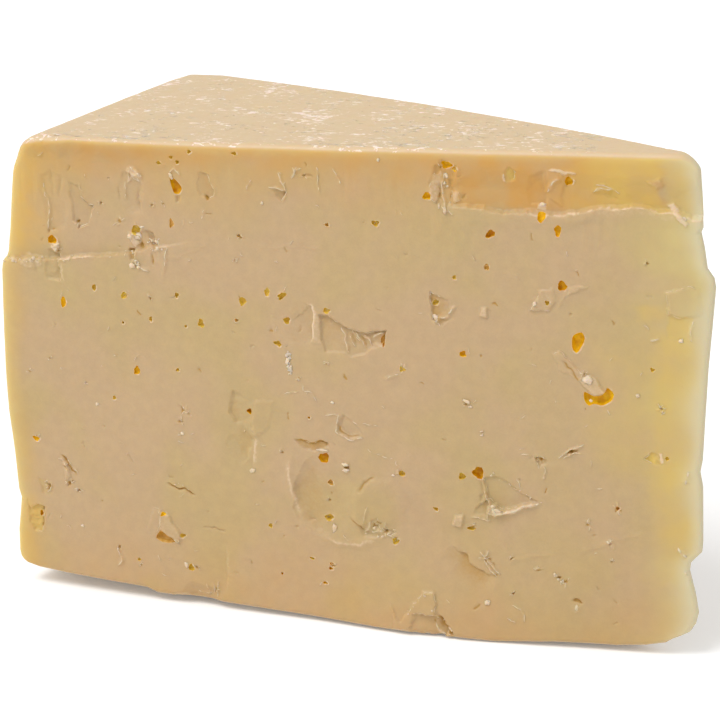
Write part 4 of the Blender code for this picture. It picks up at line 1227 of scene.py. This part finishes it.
def newGroup(name, inputs, outputs):
    group = bpy.data.node_groups.new(name, "ShaderNodeTree")
    for label, kind, value in inputs:
        socket = group.interface.new_socket(label, in_out="INPUT", socket_type=kind)
        if value is not None:
            socket.default_value = value
    for label, kind in outputs:
        group.interface.new_socket(label, in_out="OUTPUT", socket_type=kind)
    return group, group.nodes.new("NodeGroupInput"), group.nodes.new("NodeGroupOutput")


def pasteGroup():
    # the cheese paste: a soft mottle of two tones, fine grain, and the height of that grain
    group, given, result = newGroup("cheesePaste", [
        ("Vector", "NodeSocketVector", None), ("Colour", "NodeSocketColor", None),
        ("Other Tone", "NodeSocketColor", None), ("Mottle Scale", "NodeSocketFloat", 55.0),
        ("Grain", "NodeSocketFloat", 1.0)],
        [("Colour", "NodeSocketColor"), ("Height", "NodeSocketFloat")])
    vector = given.outputs["Vector"]
    slow = noiseNode(group, vector, given.outputs["Mottle Scale"], 1.5, 0.5, 0.3)
    quick = noiseNode(group, vector, 420.0, 3.0, 0.6)
    fine = noiseNode(group, vector, 2600.0, 2.0, 0.6)
    blotch = spread(group, slow, 0.35, 0.68)
    toned = mixedColour(group, blotch, given.outputs["Colour"], given.outputs["Other Tone"])
    speckle = mathNode(group, "MULTIPLY", spread(group, quick, 0.3, 0.75, -1.0, 1.0), 0.035)
    speckle = mathNode(group, "MULTIPLY_ADD", spread(group, fine, 0.3, 0.7, -1.0, 1.0), 0.02, speckle)
    speckle = mathNode(group, "MULTIPLY_ADD", speckle, given.outputs["Grain"], 1.0)
    shade = group.nodes.new("ShaderNodeHueSaturation")
    link(group, toned, shade.inputs["Color"])
    link(group, speckle, shade.inputs["Value"])
    link(group, shade.outputs["Color"], result.inputs["Colour"])
    height = mathNode(group, "MULTIPLY_ADD", fine, 0.35, quick)
    link(group, mathNode(group, "MULTIPLY", height, given.outputs["Grain"]), result.inputs["Height"])
    return group


def bloomGroup():
    # flecks of dried bloom on the wheel's face: short strokes, mostly along the front cut
    group, given, result = newGroup("bloomFlecks", [
        ("Vector", "NodeSocketVector", None), ("Amount", "NodeSocketFloat", 0.5)],
        [("Mask", "NodeSocketFloat")])
    stretch = group.nodes.new("ShaderNodeMapping")
    stretch.inputs["Scale"].default_value = (0.55, 1.3, 0.55)
    link(group, given.outputs["Vector"], stretch.inputs["Vector"])
    strokes = noiseNode(group, stretch.outputs["Vector"], 900.0, 4.0, 0.62, 0.6)
    clusters = noiseNode(group, given.outputs["Vector"], 110.0, 2.0, 0.5)
    level = mathNode(group, "MULTIPLY_ADD", spread(group, clusters, 0.35, 0.7), 0.13, strokes)
    level = mathNode(group, "MULTIPLY_ADD", given.outputs["Amount"], 0.12, level)
    link(group, spread(group, level, 0.765, 0.825), result.inputs["Mask"])
    return group


def placedGroup(tree, group, values, links):
    node = tree.nodes.new("ShaderNodeGroup")
    node.node_tree = group
    for name, value in values.items():
        node.inputs[name].default_value = value
    for name, source in links.items():
        link(tree, source, node.inputs[name])
    return node


def newMaterial(name):
    material = bpy.data.materials.new(name)
    material.use_nodes = True
    tree = material.node_tree
    shader = tree.nodes["Principled BSDF"]
    coordinates = tree.nodes.new("ShaderNodeTexCoord").outputs["Object"]
    return material, tree, shader, coordinates


def attribute(tree, name):
    node = tree.nodes.new("ShaderNodeAttribute")
    node.attribute_name = name
    return node.outputs["Fac"]


def bumped(tree, height, shader, distance):
    bump = tree.nodes.new("ShaderNodeBump")
    bump.inputs["Distance"].default_value = distance
    bump.inputs["Strength"].default_value = 1.0
    link(tree, height, bump.inputs["Height"])
    link(tree, bump.outputs["Normal"], shader.inputs["Normal"])


def soften(shader, weight, depth):
    # light that travels under the surface, red furthest
    shader.inputs["Subsurface Weight"].default_value = weight
    shader.inputs["Subsurface Radius"].default_value = (1.0, 0.55, 0.22)
    shader.inputs["Subsurface Scale"].default_value = depth


cheeseLook = {
    "base": linear(187, 158, 119),
    "otherTone": linear(185, 159, 111),
    "underTop": linear(198, 148, 71),      # drier and yellower near the wheel's faces
    "rind": linear(204, 162, 80),
    # painted highlight: yellowish light along the cuts' top edge and rind end
    "edgeHighlight": linear(221, 200, 130),
    # painted light: the thin tip paler and yellower as if lit through, whitest at its very edge
    "tip": linear(201, 181, 117),
    "tipEdgeGlow": linear(206, 197, 166),
    "gold": linear(206, 174, 88),
    # painted shade: brown for slits, grooves and hollows
    "warm": linear(178, 136, 62),
    "pale": linear(214, 189, 157),
    "face": linear(207, 181, 143),
    "bloom": linear(238, 220, 206),
    "roughness": (0.42, 0.6),
    "subsurface": 0.4,
    "subsurfaceDepth": 0.0018,
    "grainHeight": 0.00006,
}


def cheeseMaterial(paste, bloom):
    look = cheeseLook
    material, tree, shader, coordinates = newMaterial("cheese")
    tones = {"Colour": look["base"], "Other Tone": look["otherTone"]}
    body = placedGroup(tree, paste, tones, {"Vector": coordinates})
    wander = spread(tree, noiseNode(tree, coordinates, 140.0, 2.0), 0.3, 0.7, 0.6, 1.15)
    colour = body.outputs["Colour"]
    # tip is painted light through the thin tip; the others are the paste's own colours
    for name in ("tip", "underTop", "gold", "rind"):
        share = mathNode(tree, "MULTIPLY", attribute(tree, name), wander, clamp=True)
        colour = mixedColour(tree, share, colour, look[name])
    # painted highlight along the edges and painted light at the tip's edge, then the wheel's faces
    for name in ("edgeHighlight", "tipEdgeGlow", "face"):
        colour = mixedColour(tree, attribute(tree, name), colour, look[name])
    # the edges of slits and torn lips are broken up by the crumb of the paste
    crumbly = noiseNode(tree, coordinates, 1500.0, 3.0, 0.6)
    # brown painted shade in slits, grooves and hollows
    warm = mathNode(tree, "SUBTRACT", attribute(tree, "warm"), 0.175)
    warm = mathNode(tree, "MULTIPLY_ADD", crumbly, 0.35, warm)
    colour = mixedColour(tree, spread(tree, warm, 0.12, 0.75), colour, look["warm"])
    pale = mathNode(tree, "SUBTRACT", attribute(tree, "pale"), 0.3)
    pale = mathNode(tree, "MULTIPLY_ADD", crumbly, 0.6, pale)
    pale = spread(tree, pale, 0.18, 0.85)
    colour = mixedColour(tree, pale, colour, look["pale"])
    flecks = placedGroup(tree, bloom, {}, {"Vector": coordinates, "Amount": attribute(tree, "bloom")})
    flecked = mathNode(tree, "MULTIPLY", flecks.outputs["Mask"], attribute(tree, "bloom"), clamp=True)
    colour = mixedColour(tree, flecked, colour, look["bloom"])
    link(tree, colour, shader.inputs["Base Color"])
    gloss = spread(tree, body.outputs["Height"], 0.35, 0.95, *look["roughness"])
    link(tree, mathNode(tree, "MULTIPLY_ADD", flecked, 0.2, gloss), shader.inputs["Roughness"])
    height = mathNode(tree, "MULTIPLY_ADD", flecked, 0.4, body.outputs["Height"])
    height = mathNode(tree, "MULTIPLY_ADD", mathNode(tree, "MULTIPLY", pale, crumbly), 0.8, height)
    bumped(tree, height, shader, look["grainHeight"])
    soften(shader, look["subsurface"], look["subsurfaceDepth"])
    return material


eyeLooks = {
    "amber": dict(colour=linear(236, 192, 26), otherTone=linear(216, 162, 18)),
    "olive": dict(colour=linear(226, 194, 84), otherTone=linear(204, 166, 58)),
    "brown": dict(colour=linear(224, 174, 18), otherTone=linear(194, 130, 10)),
    "tan": dict(colour=linear(222, 182, 104), otherTone=linear(200, 152, 66)),
}


def eyeMaterial(name, paste):
    look = eyeLooks[name]
    material, tree, shader, coordinates = newMaterial(name + "Eye")
    tones = {"Colour": look["colour"], "Other Tone": look["otherTone"], "Grain": 1.5, "Mottle Scale": 700.0}
    body = placedGroup(tree, paste, tones, {"Vector": coordinates})
    link(tree, body.outputs["Colour"], shader.inputs["Base Color"])
    link(tree, spread(tree, body.outputs["Height"], 0.3, 1.2, 0.3, 0.5), shader.inputs["Roughness"])
    bumped(tree, body.outputs["Height"], shader, 0.00005)
    shader.inputs["Specular IOR Level"].default_value = 0.2
    soften(shader, 0.2, 0.0012)
    return material


crumbLooks = {
    "crumb": dict(colour=linear(222, 199, 172), otherTone=linear(211, 184, 150)),
    "tornEdge": dict(colour=linear(228, 203, 168), otherTone=linear(218, 190, 150)),
}


def crumbMaterial(name, paste):
    look = crumbLooks[name]
    material, tree, shader, coordinates = newMaterial(name)
    tones = {"Colour": look["colour"], "Other Tone": look["otherTone"], "Grain": 2.0}
    body = placedGroup(tree, paste, tones, {"Vector": coordinates})
    link(tree, body.outputs["Colour"], shader.inputs["Base Color"])
    link(tree, spread(tree, body.outputs["Height"], 0.5, 1.8, 0.45, 0.7), shader.inputs["Roughness"])
    bumped(tree, body.outputs["Height"], shader, 0.00008)
    soften(shader, 0.4, 0.001)
    return material


def markSurface(chunk, sheets):
    # how much of each finish shows at every point of the fine mesh
    mesh = chunk.data
    points = readPoints(mesh) / mm
    across = points[:, 0] + wedge["middleAcross"]
    deep = points[:, 1] + wedge["middleDeep"]
    up = points[:, 2]
    normals = np.empty(len(mesh.vertices) * 3)
    mesh.vertices.foreach_get("normal", normals)
    normals = normals.reshape(-1, 3)
    along = np.clip(across / wedge["cutLength"], 0.0, 1.0)
    depthHere = np.maximum(wedgeDepth(along), 0.1)
    back = np.clip(deep / depthHere, 0.0, 1.0)
    # which side a vertex belongs to
    turn = wedge["angle"]
    backward = normals[:, 0] * math.sin(turn) + normals[:, 1] * math.cos(turn)
    onFront = ramp(-normals[:, 1], 0.1, 0.5) * (back < 0.5)
    onBack = ramp(backward, 0.1, 0.5) * (back >= 0.5)
    top = topHeight(along, back)
    onTop = ramp(normals[:, 2], 0.2, 0.6) * (up > top - 2.5)
    under = ramp(-normals[:, 2], 0.45, 0.85) * (up < 8.0)
    rindAt = followed(up, rindOutline)
    onRind = ramp(-normals[:, 0], 0.5, 0.85) * (across < 20.0) * (1.0 - onFront)
    # distance along the back cut from the rind end
    backRun = wedge["cutLength"] - np.hypot(across - wedge["cutLength"], deep)

    masks = {}
    for name in ("pale", "warm", "gold"):
        frontValue = sampled(sheets["front"], name, across, up) * onFront
        backValue = sampled(sheets["back"], name, backRun, up) * onBack
        masks[name] = np.clip(frontValue + backValue, 0.0, 1.0)
    below = np.maximum(top - up, 0.0)
    cuts = np.clip(onFront + onBack, 0.0, 1.0)
    # the dry band under the wheel's face: soft at the rind end, cut off by the ridge at the tip
    uneven = 1.0 + 0.35 * softNoise(across, up, 9.0, 61)
    ends = 1.0 - ramp(across, 20.0, 50.0) + ramp(across, 60.0, 110.0)
    soft = np.exp(-(below / (6.8 * uneven)) ** 1.4) * (0.84 + 0.16 * ends)
    ridgeUp = followed(across, ridgeLine)
    stepped = 0.8 * ramp(up, ridgeUp - 0.3, ridgeUp + 1.0) + 0.2 * soft
    nearTip = ramp(across, 90.0, 104.0) * onFront
    masks["underTop"] = cuts * (soft + (stepped - soft) * nearTip)
    masks["underTop"] *= 1.0 - 0.85 * ramp(across + 1.6 * softNoise(across, up, 2.2, 63), 141.0, 143.5)
    # and a little of it over the foot
    masks["underTop"] += 0.3 * cuts * np.exp(-(np.maximum(up, 0.0) / (13.0 * uneven)) ** 1.6)
    fromRind = np.maximum(np.where(back < 0.5, across - rindAt, backRun), 0.0)
    lowDown = 1.0 - ramp(up, 8.0, 26.0)
    strong = 0.56 + 0.44 * ramp(up, 76.0, 84.0) + 0.4 * lowDown
    widest = 4.6 + 3.0 * ramp(up, 76.0, 84.0) + 3.0 * lowDown
    masks["rind"] = cuts * np.clip(strong, 0.0, 1.0) * np.exp(-(fromRind / (widest * uneven)) ** 2.2)
    # a painted highlight along the top edge and the rind end of the cuts
    edge = np.minimum(fromRind, below * 1.6)
    masks["edgeHighlight"] = 0.75 * np.exp(-(edge / 1.9) ** 1.6) * (1.0 - onTop)
    # painted light over the thin tip, as if shining through it, whitest at its very edge
    tipAt = followed(up, tipOutline)
    fromTip = np.maximum(tipAt - across, 0.0)
    masks["tip"] = np.exp(-(fromTip / ((6.5 + 4.5 * ramp(up, 26.0, 56.0)) * uneven)) ** 2) * 0.9
    masks["tipEdgeGlow"] = np.exp(-(fromTip / (3.0 * uneven)) ** 1.8) * 0.85
    masks["face"] = np.clip(onTop + onRind + under, 0.0, 1.0) * (1.0 - np.exp(-(fromTip / 2.5) ** 2))
    dusted = onTop * (1.0 - ramp(across, 118.0, 140.0)) + 0.7 * onRind + 0.5 * under
    masks["bloom"] = np.clip(dusted, 0.0, 1.0)
    for name, values in masks.items():
        layer = mesh.attributes.new(name, "FLOAT", "POINT")
        layer.data.foreach_set("value", values.astype(np.float32))


# White and pinkish crumbs of the front cut: across, up, width, height, tilt.
frontCrumbs = [
    (62.1, 59.8, 0.9, 1.9, -14), (62.7, 58.0, 0.8, 1.5, 8), (61.8, 61.0, 0.5, 1.1, -20),
    (128.2, 61.2, 2.1, 1.8, 10), (16.8, 45.4, 0.8, 0.9, 0),
    (12.4, 15.9, 0.7, 0.7, 0), (54.0, 34.0, 1.3, 1.0, 10), (72.3, 51.3, 0.8, 0.7, 0), (107.8, 9.4, 1.4, 1.1, 20),
    (75.4, 37.7, 1.6, 0.55, -12), (75.6, 36.4, 1.6, 0.6, 5), (138.7, 58.4, 0.9, 0.9, 0), (81.9, 105.2, 0.6, 0.9, 0),
    (56.0, 94.1, 0.6, 0.7, 0), (73.0, 22.6, 1.1, 2.0, 0), (94.9, 71.9, 1.2, 1.4, 20), (128.9, 56.6, 0.8, 0.6, 0),
    (102.2, 54.2, 1.7, 0.7, -20), (102.9, 53.0, 1.0, 0.6, 0), (70.0, 40.3, 2.6, 0.6, 0), (116.4, 76.8, 0.9, 1.0, 0),
    (37.0, 43.6, 1.4, 0.6, 0), (37.4, 40.8, 0.9, 0.9, 0), (147.4, 71.0, 1.0, 0.9, 0),
    (37.8, 9.7, 0.8, 1.4, 20), (7.7, 81.1, 1.7, 0.8, 35), (117.2, 97.7, 1.5, 0.9, 0), (35.2, 98.6, 0.8, 1.6, 30),
    (86.2, 36.2, 0.7, 0.5, 0), (109.4, 30.3, 2.2, 1.1, -10), (108.4, 31.2, 1.0, 1.0, 0), (96.6, 95.4, 0.8, 1.6, 0),
    (26.6, 84.2, 2.4, 1.7, 20), (25.2, 84.4, 0.9, 1.0, 0), (26.0, 78.1, 1.7, 1.4, 0), (31.8, 83.8, 1.4, 1.2, -30),
    (28.0, 86.6, 1.0, 0.5, 20), (96.4, 102.6, 0.7, 1.3, 20), (95.2, 96.0, 0.5, 1.4, 0),
    (82.1, 23.6, 0.8, 0.8, 0), (105.5, 47.8, 0.8, 0.3, 20), (105.6, 46.9, 0.8, 0.3, -10),
    (147.2, 97.0, 1.1, 0.7, -40),
]
# Runs of small crumbs along torn edges: a line, how many, and their size.
crumbRuns = [
    ([(-4.5, 77.0), (0.5, 77.4), (5.2, 77.8)], 16, 0.7),
    ([(8.6, 78.0), (20.3, 79.5), (34.0, 82.8)], 12, 0.45),
    ([(108.0, 38.6), (113.0, 35.8), (118.6, 32.6)], 11, 0.4),
    ([(79.0, 22.4), (84.0, 22.0), (87.0, 23.4)], 7, 0.5),
    ([(97.2, 5.4), (99.8, 1.6)], 6, 0.7),
    ([(86.6, 6.2), (90.4, 5.4), (93.2, 9.6), (96.0, 10.4), (96.2, 6.0)], 8, 0.35),
    ([(26.4, 78.8), (30.0, 77.4)], 6, 0.6),
    ([(29.4, 83.8), (32.2, 82.0)], 6, 0.5),
    ([(122.2, 17.4), (124.6, 14.8)], 12, 0.45),
    ([(143.2, 57.0), (143.6, 54.8), (145.0, 55.6)], 6, 0.35),
    ([(34.0, 29.2), (38.2, 28.0), (40.4, 27.0)], 5, 0.3),
    ([(94.0, 103.6), (97.6, 99.0), (96.8, 94.6)], 8, 0.45),
    ([(62.0, 61.6), (62.4, 59.2), (62.9, 56.8)], 34, 0.5),
]


def addCrumb(mesh, centre, size, tilt, layer):
    turn = Matrix.Rotation(math.radians(-tilt), 3, "Y")
    ball = bmesh.ops.create_icosphere(mesh, subdivisions=2, radius=1.0)
    for vertex in ball["verts"]:
        lump = 1.0 + 0.6 * noise.noise(vertex.co * 1.7 + Vector((layer, 0.0, 0.0)))
        lump += 0.35 * noise.noise(vertex.co * 4.3 + Vector((0.0, layer, 0.0)))
        stretched = Vector((vertex.co.x * size[0], vertex.co.y * size[1], vertex.co.z * size[2]))
        place = turn @ stretched * lump * 0.5
        vertex.co = centre + place * mm
        for face in vertex.link_faces:
            face.smooth = True


crumbPlan = {"stray": 0.5, "flatness": 0.4, "leastThickness": 0.12, "sunk": 0.12}


def crumbPiece(sheets, material):
    chance = random.Random(seed + 5)
    plan = crumbPlan
    mesh = bmesh.new()
    places = list(frontCrumbs)
    for line, number, size in crumbRuns:
        steps = [math.dist(p, q) for p, q in zip(line, line[1:])]
        for index in range(number):
            run = chance.random() * sum(steps)
            for (p, q), step in zip(zip(line, line[1:]), steps):
                if run <= step:
                    break
                run -= step
            share = min(run / step, 1.0)
            across = p[0] + (q[0] - p[0]) * share + chance.uniform(-plan["stray"], plan["stray"])
            up = p[1] + (q[1] - p[1]) * share + chance.uniform(-plan["stray"], plan["stray"])
            width = size * chance.uniform(0.5, 1.5)
            places.append((across, up, width, width * chance.uniform(0.5, 1.1), chance.uniform(-60.0, 60.0)))
    for count, (across, up, width, height, tilt) in enumerate(places):
        thickness = plan["flatness"] * min(width, height) + plan["leastThickness"]
        deep = frontDeepAt(sheets, across, up)
        centre = Vector(toFrame(across, deep - plan["sunk"] * thickness, up))
        addCrumb(mesh, centre, (width, thickness, height), tilt, 2.3 * count)
    return finishedPiece("paleCrumbs", mesh, material)


def finishedPiece(name, mesh, material):
    data = bpy.data.meshes.new(name)
    mesh.to_mesh(data)
    mesh.free()
    piece = bpy.data.objects.new(name, data)
    bpy.context.scene.collection.objects.link(piece)
    data.materials.append(material)
    return piece


edgePlan = {
    "step": 0.3,
    "width": (0.6, 1.0),       # shares of the line's own width
    "thickness": 0.16,
    "fragment": (0.6, 2.6),
    "gap": (0.1, 0.8),
    "sides": 5,
}


def lineSamples(sheet, points, step):
    # evenly spaced places along a drawn line, moved to where the sheet's warp shows it
    samples = []
    for (a0, u0), (a1, u1) in zip(points, points[1:]):
        count = max(1, round(math.dist((a0, u0), (a1, u1)) / step))
        samples += [(a0 + (a1 - a0) * number / count, u0 + (u1 - u0) * number / count)
                    for number in range(count)]
    samples.append(points[-1])
    across, up = np.array(samples).T
    return 2.0 * across - sampled(sheet, "across", across, up), 2.0 * up - sampled(sheet, "up", across, up)


def addThread(mesh, places, normals, width):
    # a thin tapered thread of paste along places on the surface
    plan = edgePlan
    rings = []
    for number, (place, normal) in enumerate(zip(places, normals)):
        ahead = places[min(number + 1, len(places) - 1)] - places[max(number - 1, 0)]
        aside = ahead.cross(normal).normalized()
        swell = 0.5 * math.sin(math.pi * (number + 0.4) / (len(places) - 0.2)) ** 0.7
        ring = []
        for corner in range(plan["sides"]):
            turn = 2.0 * math.pi * corner / plan["sides"]
            shift = aside * (width * math.cos(turn)) + normal * (plan["thickness"] * math.sin(turn))
            ring.append(mesh.verts.new(place + shift * swell * mm))
        rings.append(ring)
    skinRings(mesh, rings)


def edgePiece(chunk, sheets, material):
    # the thin pale edges of torn paste, in fragments that lie on the finished surface
    chance = random.Random(seed + 6)
    plan = edgePlan
    mesh = bmesh.new()
    surface = BVHTree.FromObject(chunk, bpy.context.evaluated_depsgraph_get())
    turn = wedge["angle"]
    sides = {"front": Vector((0.0, 1.0, 0.0)), "back": Vector((-math.sin(turn), -math.cos(turn), 0.0))}
    for side, inward in sides.items():
        for points, width in sheets[side]["edges"]:
            across, up = lineSamples(sheets[side], points, plan["step"])
            if side == "back":
                deep = (wedge["cutLength"] - across) * math.sin(turn)
                across = wedge["cutLength"] - (wedge["cutLength"] - across) * math.cos(turn)
            else:
                deep = np.zeros_like(across)
            places, normals = [], []
            left = round(chance.uniform(*plan["fragment"]) / plan["step"])
            for spot in toFrame(across, deep, up):
                hit, normal, face, reach = surface.ray_cast(Vector(spot) - inward * 0.02, inward)
                whole = hit is not None
                if whole and places:
                    whole = (hit - places[-1]).length < 2.5 * plan["step"] * mm
                if whole and left > 0:
                    places.append(hit)
                    normals.append(normal)
                left -= 1
                if not whole or left == 0:
                    if len(places) > 2:
                        addThread(mesh, places, normals, width * chance.uniform(*plan["width"]))
                    places, normals = [], []
                if left <= 0 and left < -chance.uniform(*plan["gap"]) / plan["step"]:
                    left = round(chance.uniform(*plan["fragment"]) / plan["step"])
            if len(places) > 2:
                addThread(mesh, places, normals, width * chance.uniform(*plan["width"]))
    bmesh.ops.recalc_face_normals(mesh, faces=mesh.faces)
    return finishedPiece("tornEdges", mesh, material)


fleckPlan = {"count": 620, "length": (0.6, 3.2), "width": (0.2, 0.6), "thickness": 0.1}


def fleckPiece(sheets, material):
    # thin dried flecks lying on the wheel's face, more of them near the front cut
    chance = random.Random(seed + 8)
    mesh = bmesh.new()
    plan = fleckPlan
    made = 0
    while made < plan["count"]:
        across = chance.uniform(6.0, 128.0)
        along = across / wedge["cutLength"]
        depthHere = float(wedgeDepth(along))
        deep = 1.5 + (depthHere - 3.0) * chance.random() ** 1.7
        crowd = float(softNoise(np.array([across]), np.array([deep]), 9.0, 70)[0])
        if chance.random() > 0.45 + 0.7 * crowd - 0.4 * max(0.0, along - 0.7) / 0.3:
            continue
        # where that is on the finished face
        here = np.array([along]), np.array([deep / depthHere]), np.array([1.0])
        planAcross, planDeep, up = wedgePoints(*here, sheets)
        length = chance.uniform(*plan["length"]) * chance.uniform(0.4, 1.0)
        width = min(chance.uniform(*plan["width"]), 0.7 * length)
        turn = Matrix.Rotation(math.radians(chance.gauss(4.0, 16.0)), 3, "Z")
        ball = bmesh.ops.create_icosphere(mesh, subdivisions=1, radius=1.0)
        centre = Vector(toFrame(planAcross[0], planDeep[0], up[0] - 0.01))
        for vertex in ball["verts"]:
            lump = 1.0 + 0.7 * noise.noise(vertex.co * 1.5 + Vector((1.9 * made, 0.0, 0.0)))
            stretched = Vector((vertex.co.x * length, vertex.co.y * width, vertex.co.z * plan["thickness"]))
            place = turn @ stretched * lump
            vertex.co = centre + place * 0.5 * mm
            for face in vertex.link_faces:
                face.smooth = True
        made += 1
    return finishedPiece("faceFlecks", mesh, material)


print("relief sheets")
sheets = {
    "front": frontSheet(),
    "back": backSheet(),
    "top": faceSheet(-6.0, 158.0, -3.0, 72.0, 300, 0.18),
    "rind": faceSheet(-3.0, 72.0, -3.0, 113.0, 400, 0.2),
}

print("fine wedge")
chunk = dividedCube()
shapeChunk(chunk, sheets)

print("eyes")
paste = pasteGroup()
bloom = bloomGroup()
chunk.data.materials.append(cheeseMaterial(paste, bloom))
cutters = eyeCutters(sheets)
for name in eyeSlots:
    made = eyeMaterial(name, paste)
    cutters.data.materials.append(made)
    chunk.data.materials.append(made)
cut = chunk.modifiers.new("eyes", "BOOLEAN")
cut.operation = "DIFFERENCE"
cut.solver = "MANIFOLD"
cut.material_mode = "TRANSFER"
cut.object = cutters
applyModifiers(chunk)
bpy.data.objects.remove(cutters)
frontCount, restCount = triangleCounts(chunk)
print("triangles before thinning:", frontCount + restCount)
thinOut(chunk, False, frontCount + wedge["mostTriangles"] - wedge["frontTriangles"])
thinOut(chunk, True, wedge["mostTriangles"])
chunk.data.shade_smooth()
chunk.data.set_sharp_from_angle(angle=math.radians(50.0))
print("triangles:", sum(triangleCounts(chunk)))

print("finishes")
markSurface(chunk, sheets)

print("crumbs and flecks")
crumbFinish = crumbMaterial("crumb", paste)
crumbs = crumbPiece(sheets, crumbFinish)
flecks = fleckPiece(sheets, crumbFinish)
edges = edgePiece(chunk, sheets, crumbMaterial("tornEdge", paste))
print("triangles of the torn edges:", sum(len(polygon.vertices) - 2 for polygon in edges.data.polygons))

for piece in (chunk, crumbs, flecks, edges):
    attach(piece, "root")
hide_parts("cheese_chunk")

print("studio")
studio = {
    "floorSize": 6.0,
    "floor": (0.97, 0.97, 0.97, 1.0),
    "world": (1.0, 1.0, 1.0, 1.0),
    "worldStrength": 0.72,     # as light; the backdrop itself stays white
    "floorGlow": 0.14,         # lifts the floor to the white of the backdrop, and lights nothing
    "keyPower": 43.0,
    "keySize": 1.3,
    "keyPlace": (-0.95, -1.25, 2.25),
    "lens": 130.0,
    "sensor": 36.0,
    "azimuth": math.radians(16.5),
    "elevation": math.radians(17.1),
    "distance": 0.561,
    "target": (0.0039, -0.0302, 0.0608),
}

floorMesh = bmesh.new()
bmesh.ops.create_grid(floorMesh, x_segments=4, y_segments=4, size=0.5 * studio["floorSize"])
floorData = bpy.data.meshes.new("floor")
floorMesh.to_mesh(floorData)
floorMesh.free()
floor = bpy.data.objects.new("floor", floorData)
bpy.context.scene.collection.objects.link(floor)
floorMaterial, floorTree, floorShader, floorPlace = newMaterial("floor")
floorShader.inputs["Base Color"].default_value = studio["floor"]
floorShader.inputs["Roughness"].default_value = 0.8
floorShader.inputs["Emission Color"].default_value = studio["floor"]
floorSeen = floorTree.nodes.new("ShaderNodeLightPath").outputs["Is Camera Ray"]
floorGlow = mathNode(floorTree, "MULTIPLY", floorSeen, studio["floorGlow"])
link(floorTree, floorGlow, floorShader.inputs["Emission Strength"])
floorData.materials.append(floorMaterial)

world = bpy.data.worlds.new("studio")
bpy.context.scene.world = world
world.use_nodes = True
sky = world.node_tree
backdrop = sky.nodes["Background"]
backdrop.inputs["Color"].default_value = studio["world"]
seen = sky.nodes.new("ShaderNodeLightPath").outputs["Is Camera Ray"]
shown = mathNode(sky, "MULTIPLY_ADD", seen, 1.0 - studio["worldStrength"], studio["worldStrength"])
link(sky, shown, backdrop.inputs["Strength"])

key = bpy.data.lights.new("key", "AREA")
key.energy = studio["keyPower"]
key.size = studio["keySize"]
keyLight = bpy.data.objects.new("key", key)
bpy.context.scene.collection.objects.link(keyLight)
keyLight.location = studio["keyPlace"]
keyLight.rotation_euler = (Vector(studio["target"]) - keyLight.location).to_track_quat("-Z", "Y").to_euler()

bpy.context.scene.view_settings.view_transform = "Standard"

cameraData = bpy.data.cameras.new("camera")
cameraData.lens = studio["lens"]
cameraData.sensor_width = studio["sensor"]
cameraData.clip_start = 0.01
camera = bpy.data.objects.new("camera", cameraData)
bpy.context.scene.collection.objects.link(camera)
away = Vector((math.sin(studio["azimuth"]) * math.cos(studio["elevation"]),
               -math.cos(studio["azimuth"]) * math.cos(studio["elevation"]),
               math.sin(studio["elevation"])))
camera.location = Vector(studio["target"]) + away * studio["distance"]
camera.rotation_euler = (-away).to_track_quat("-Z", "Y").to_euler()
bpy.context.scene.camera = camera
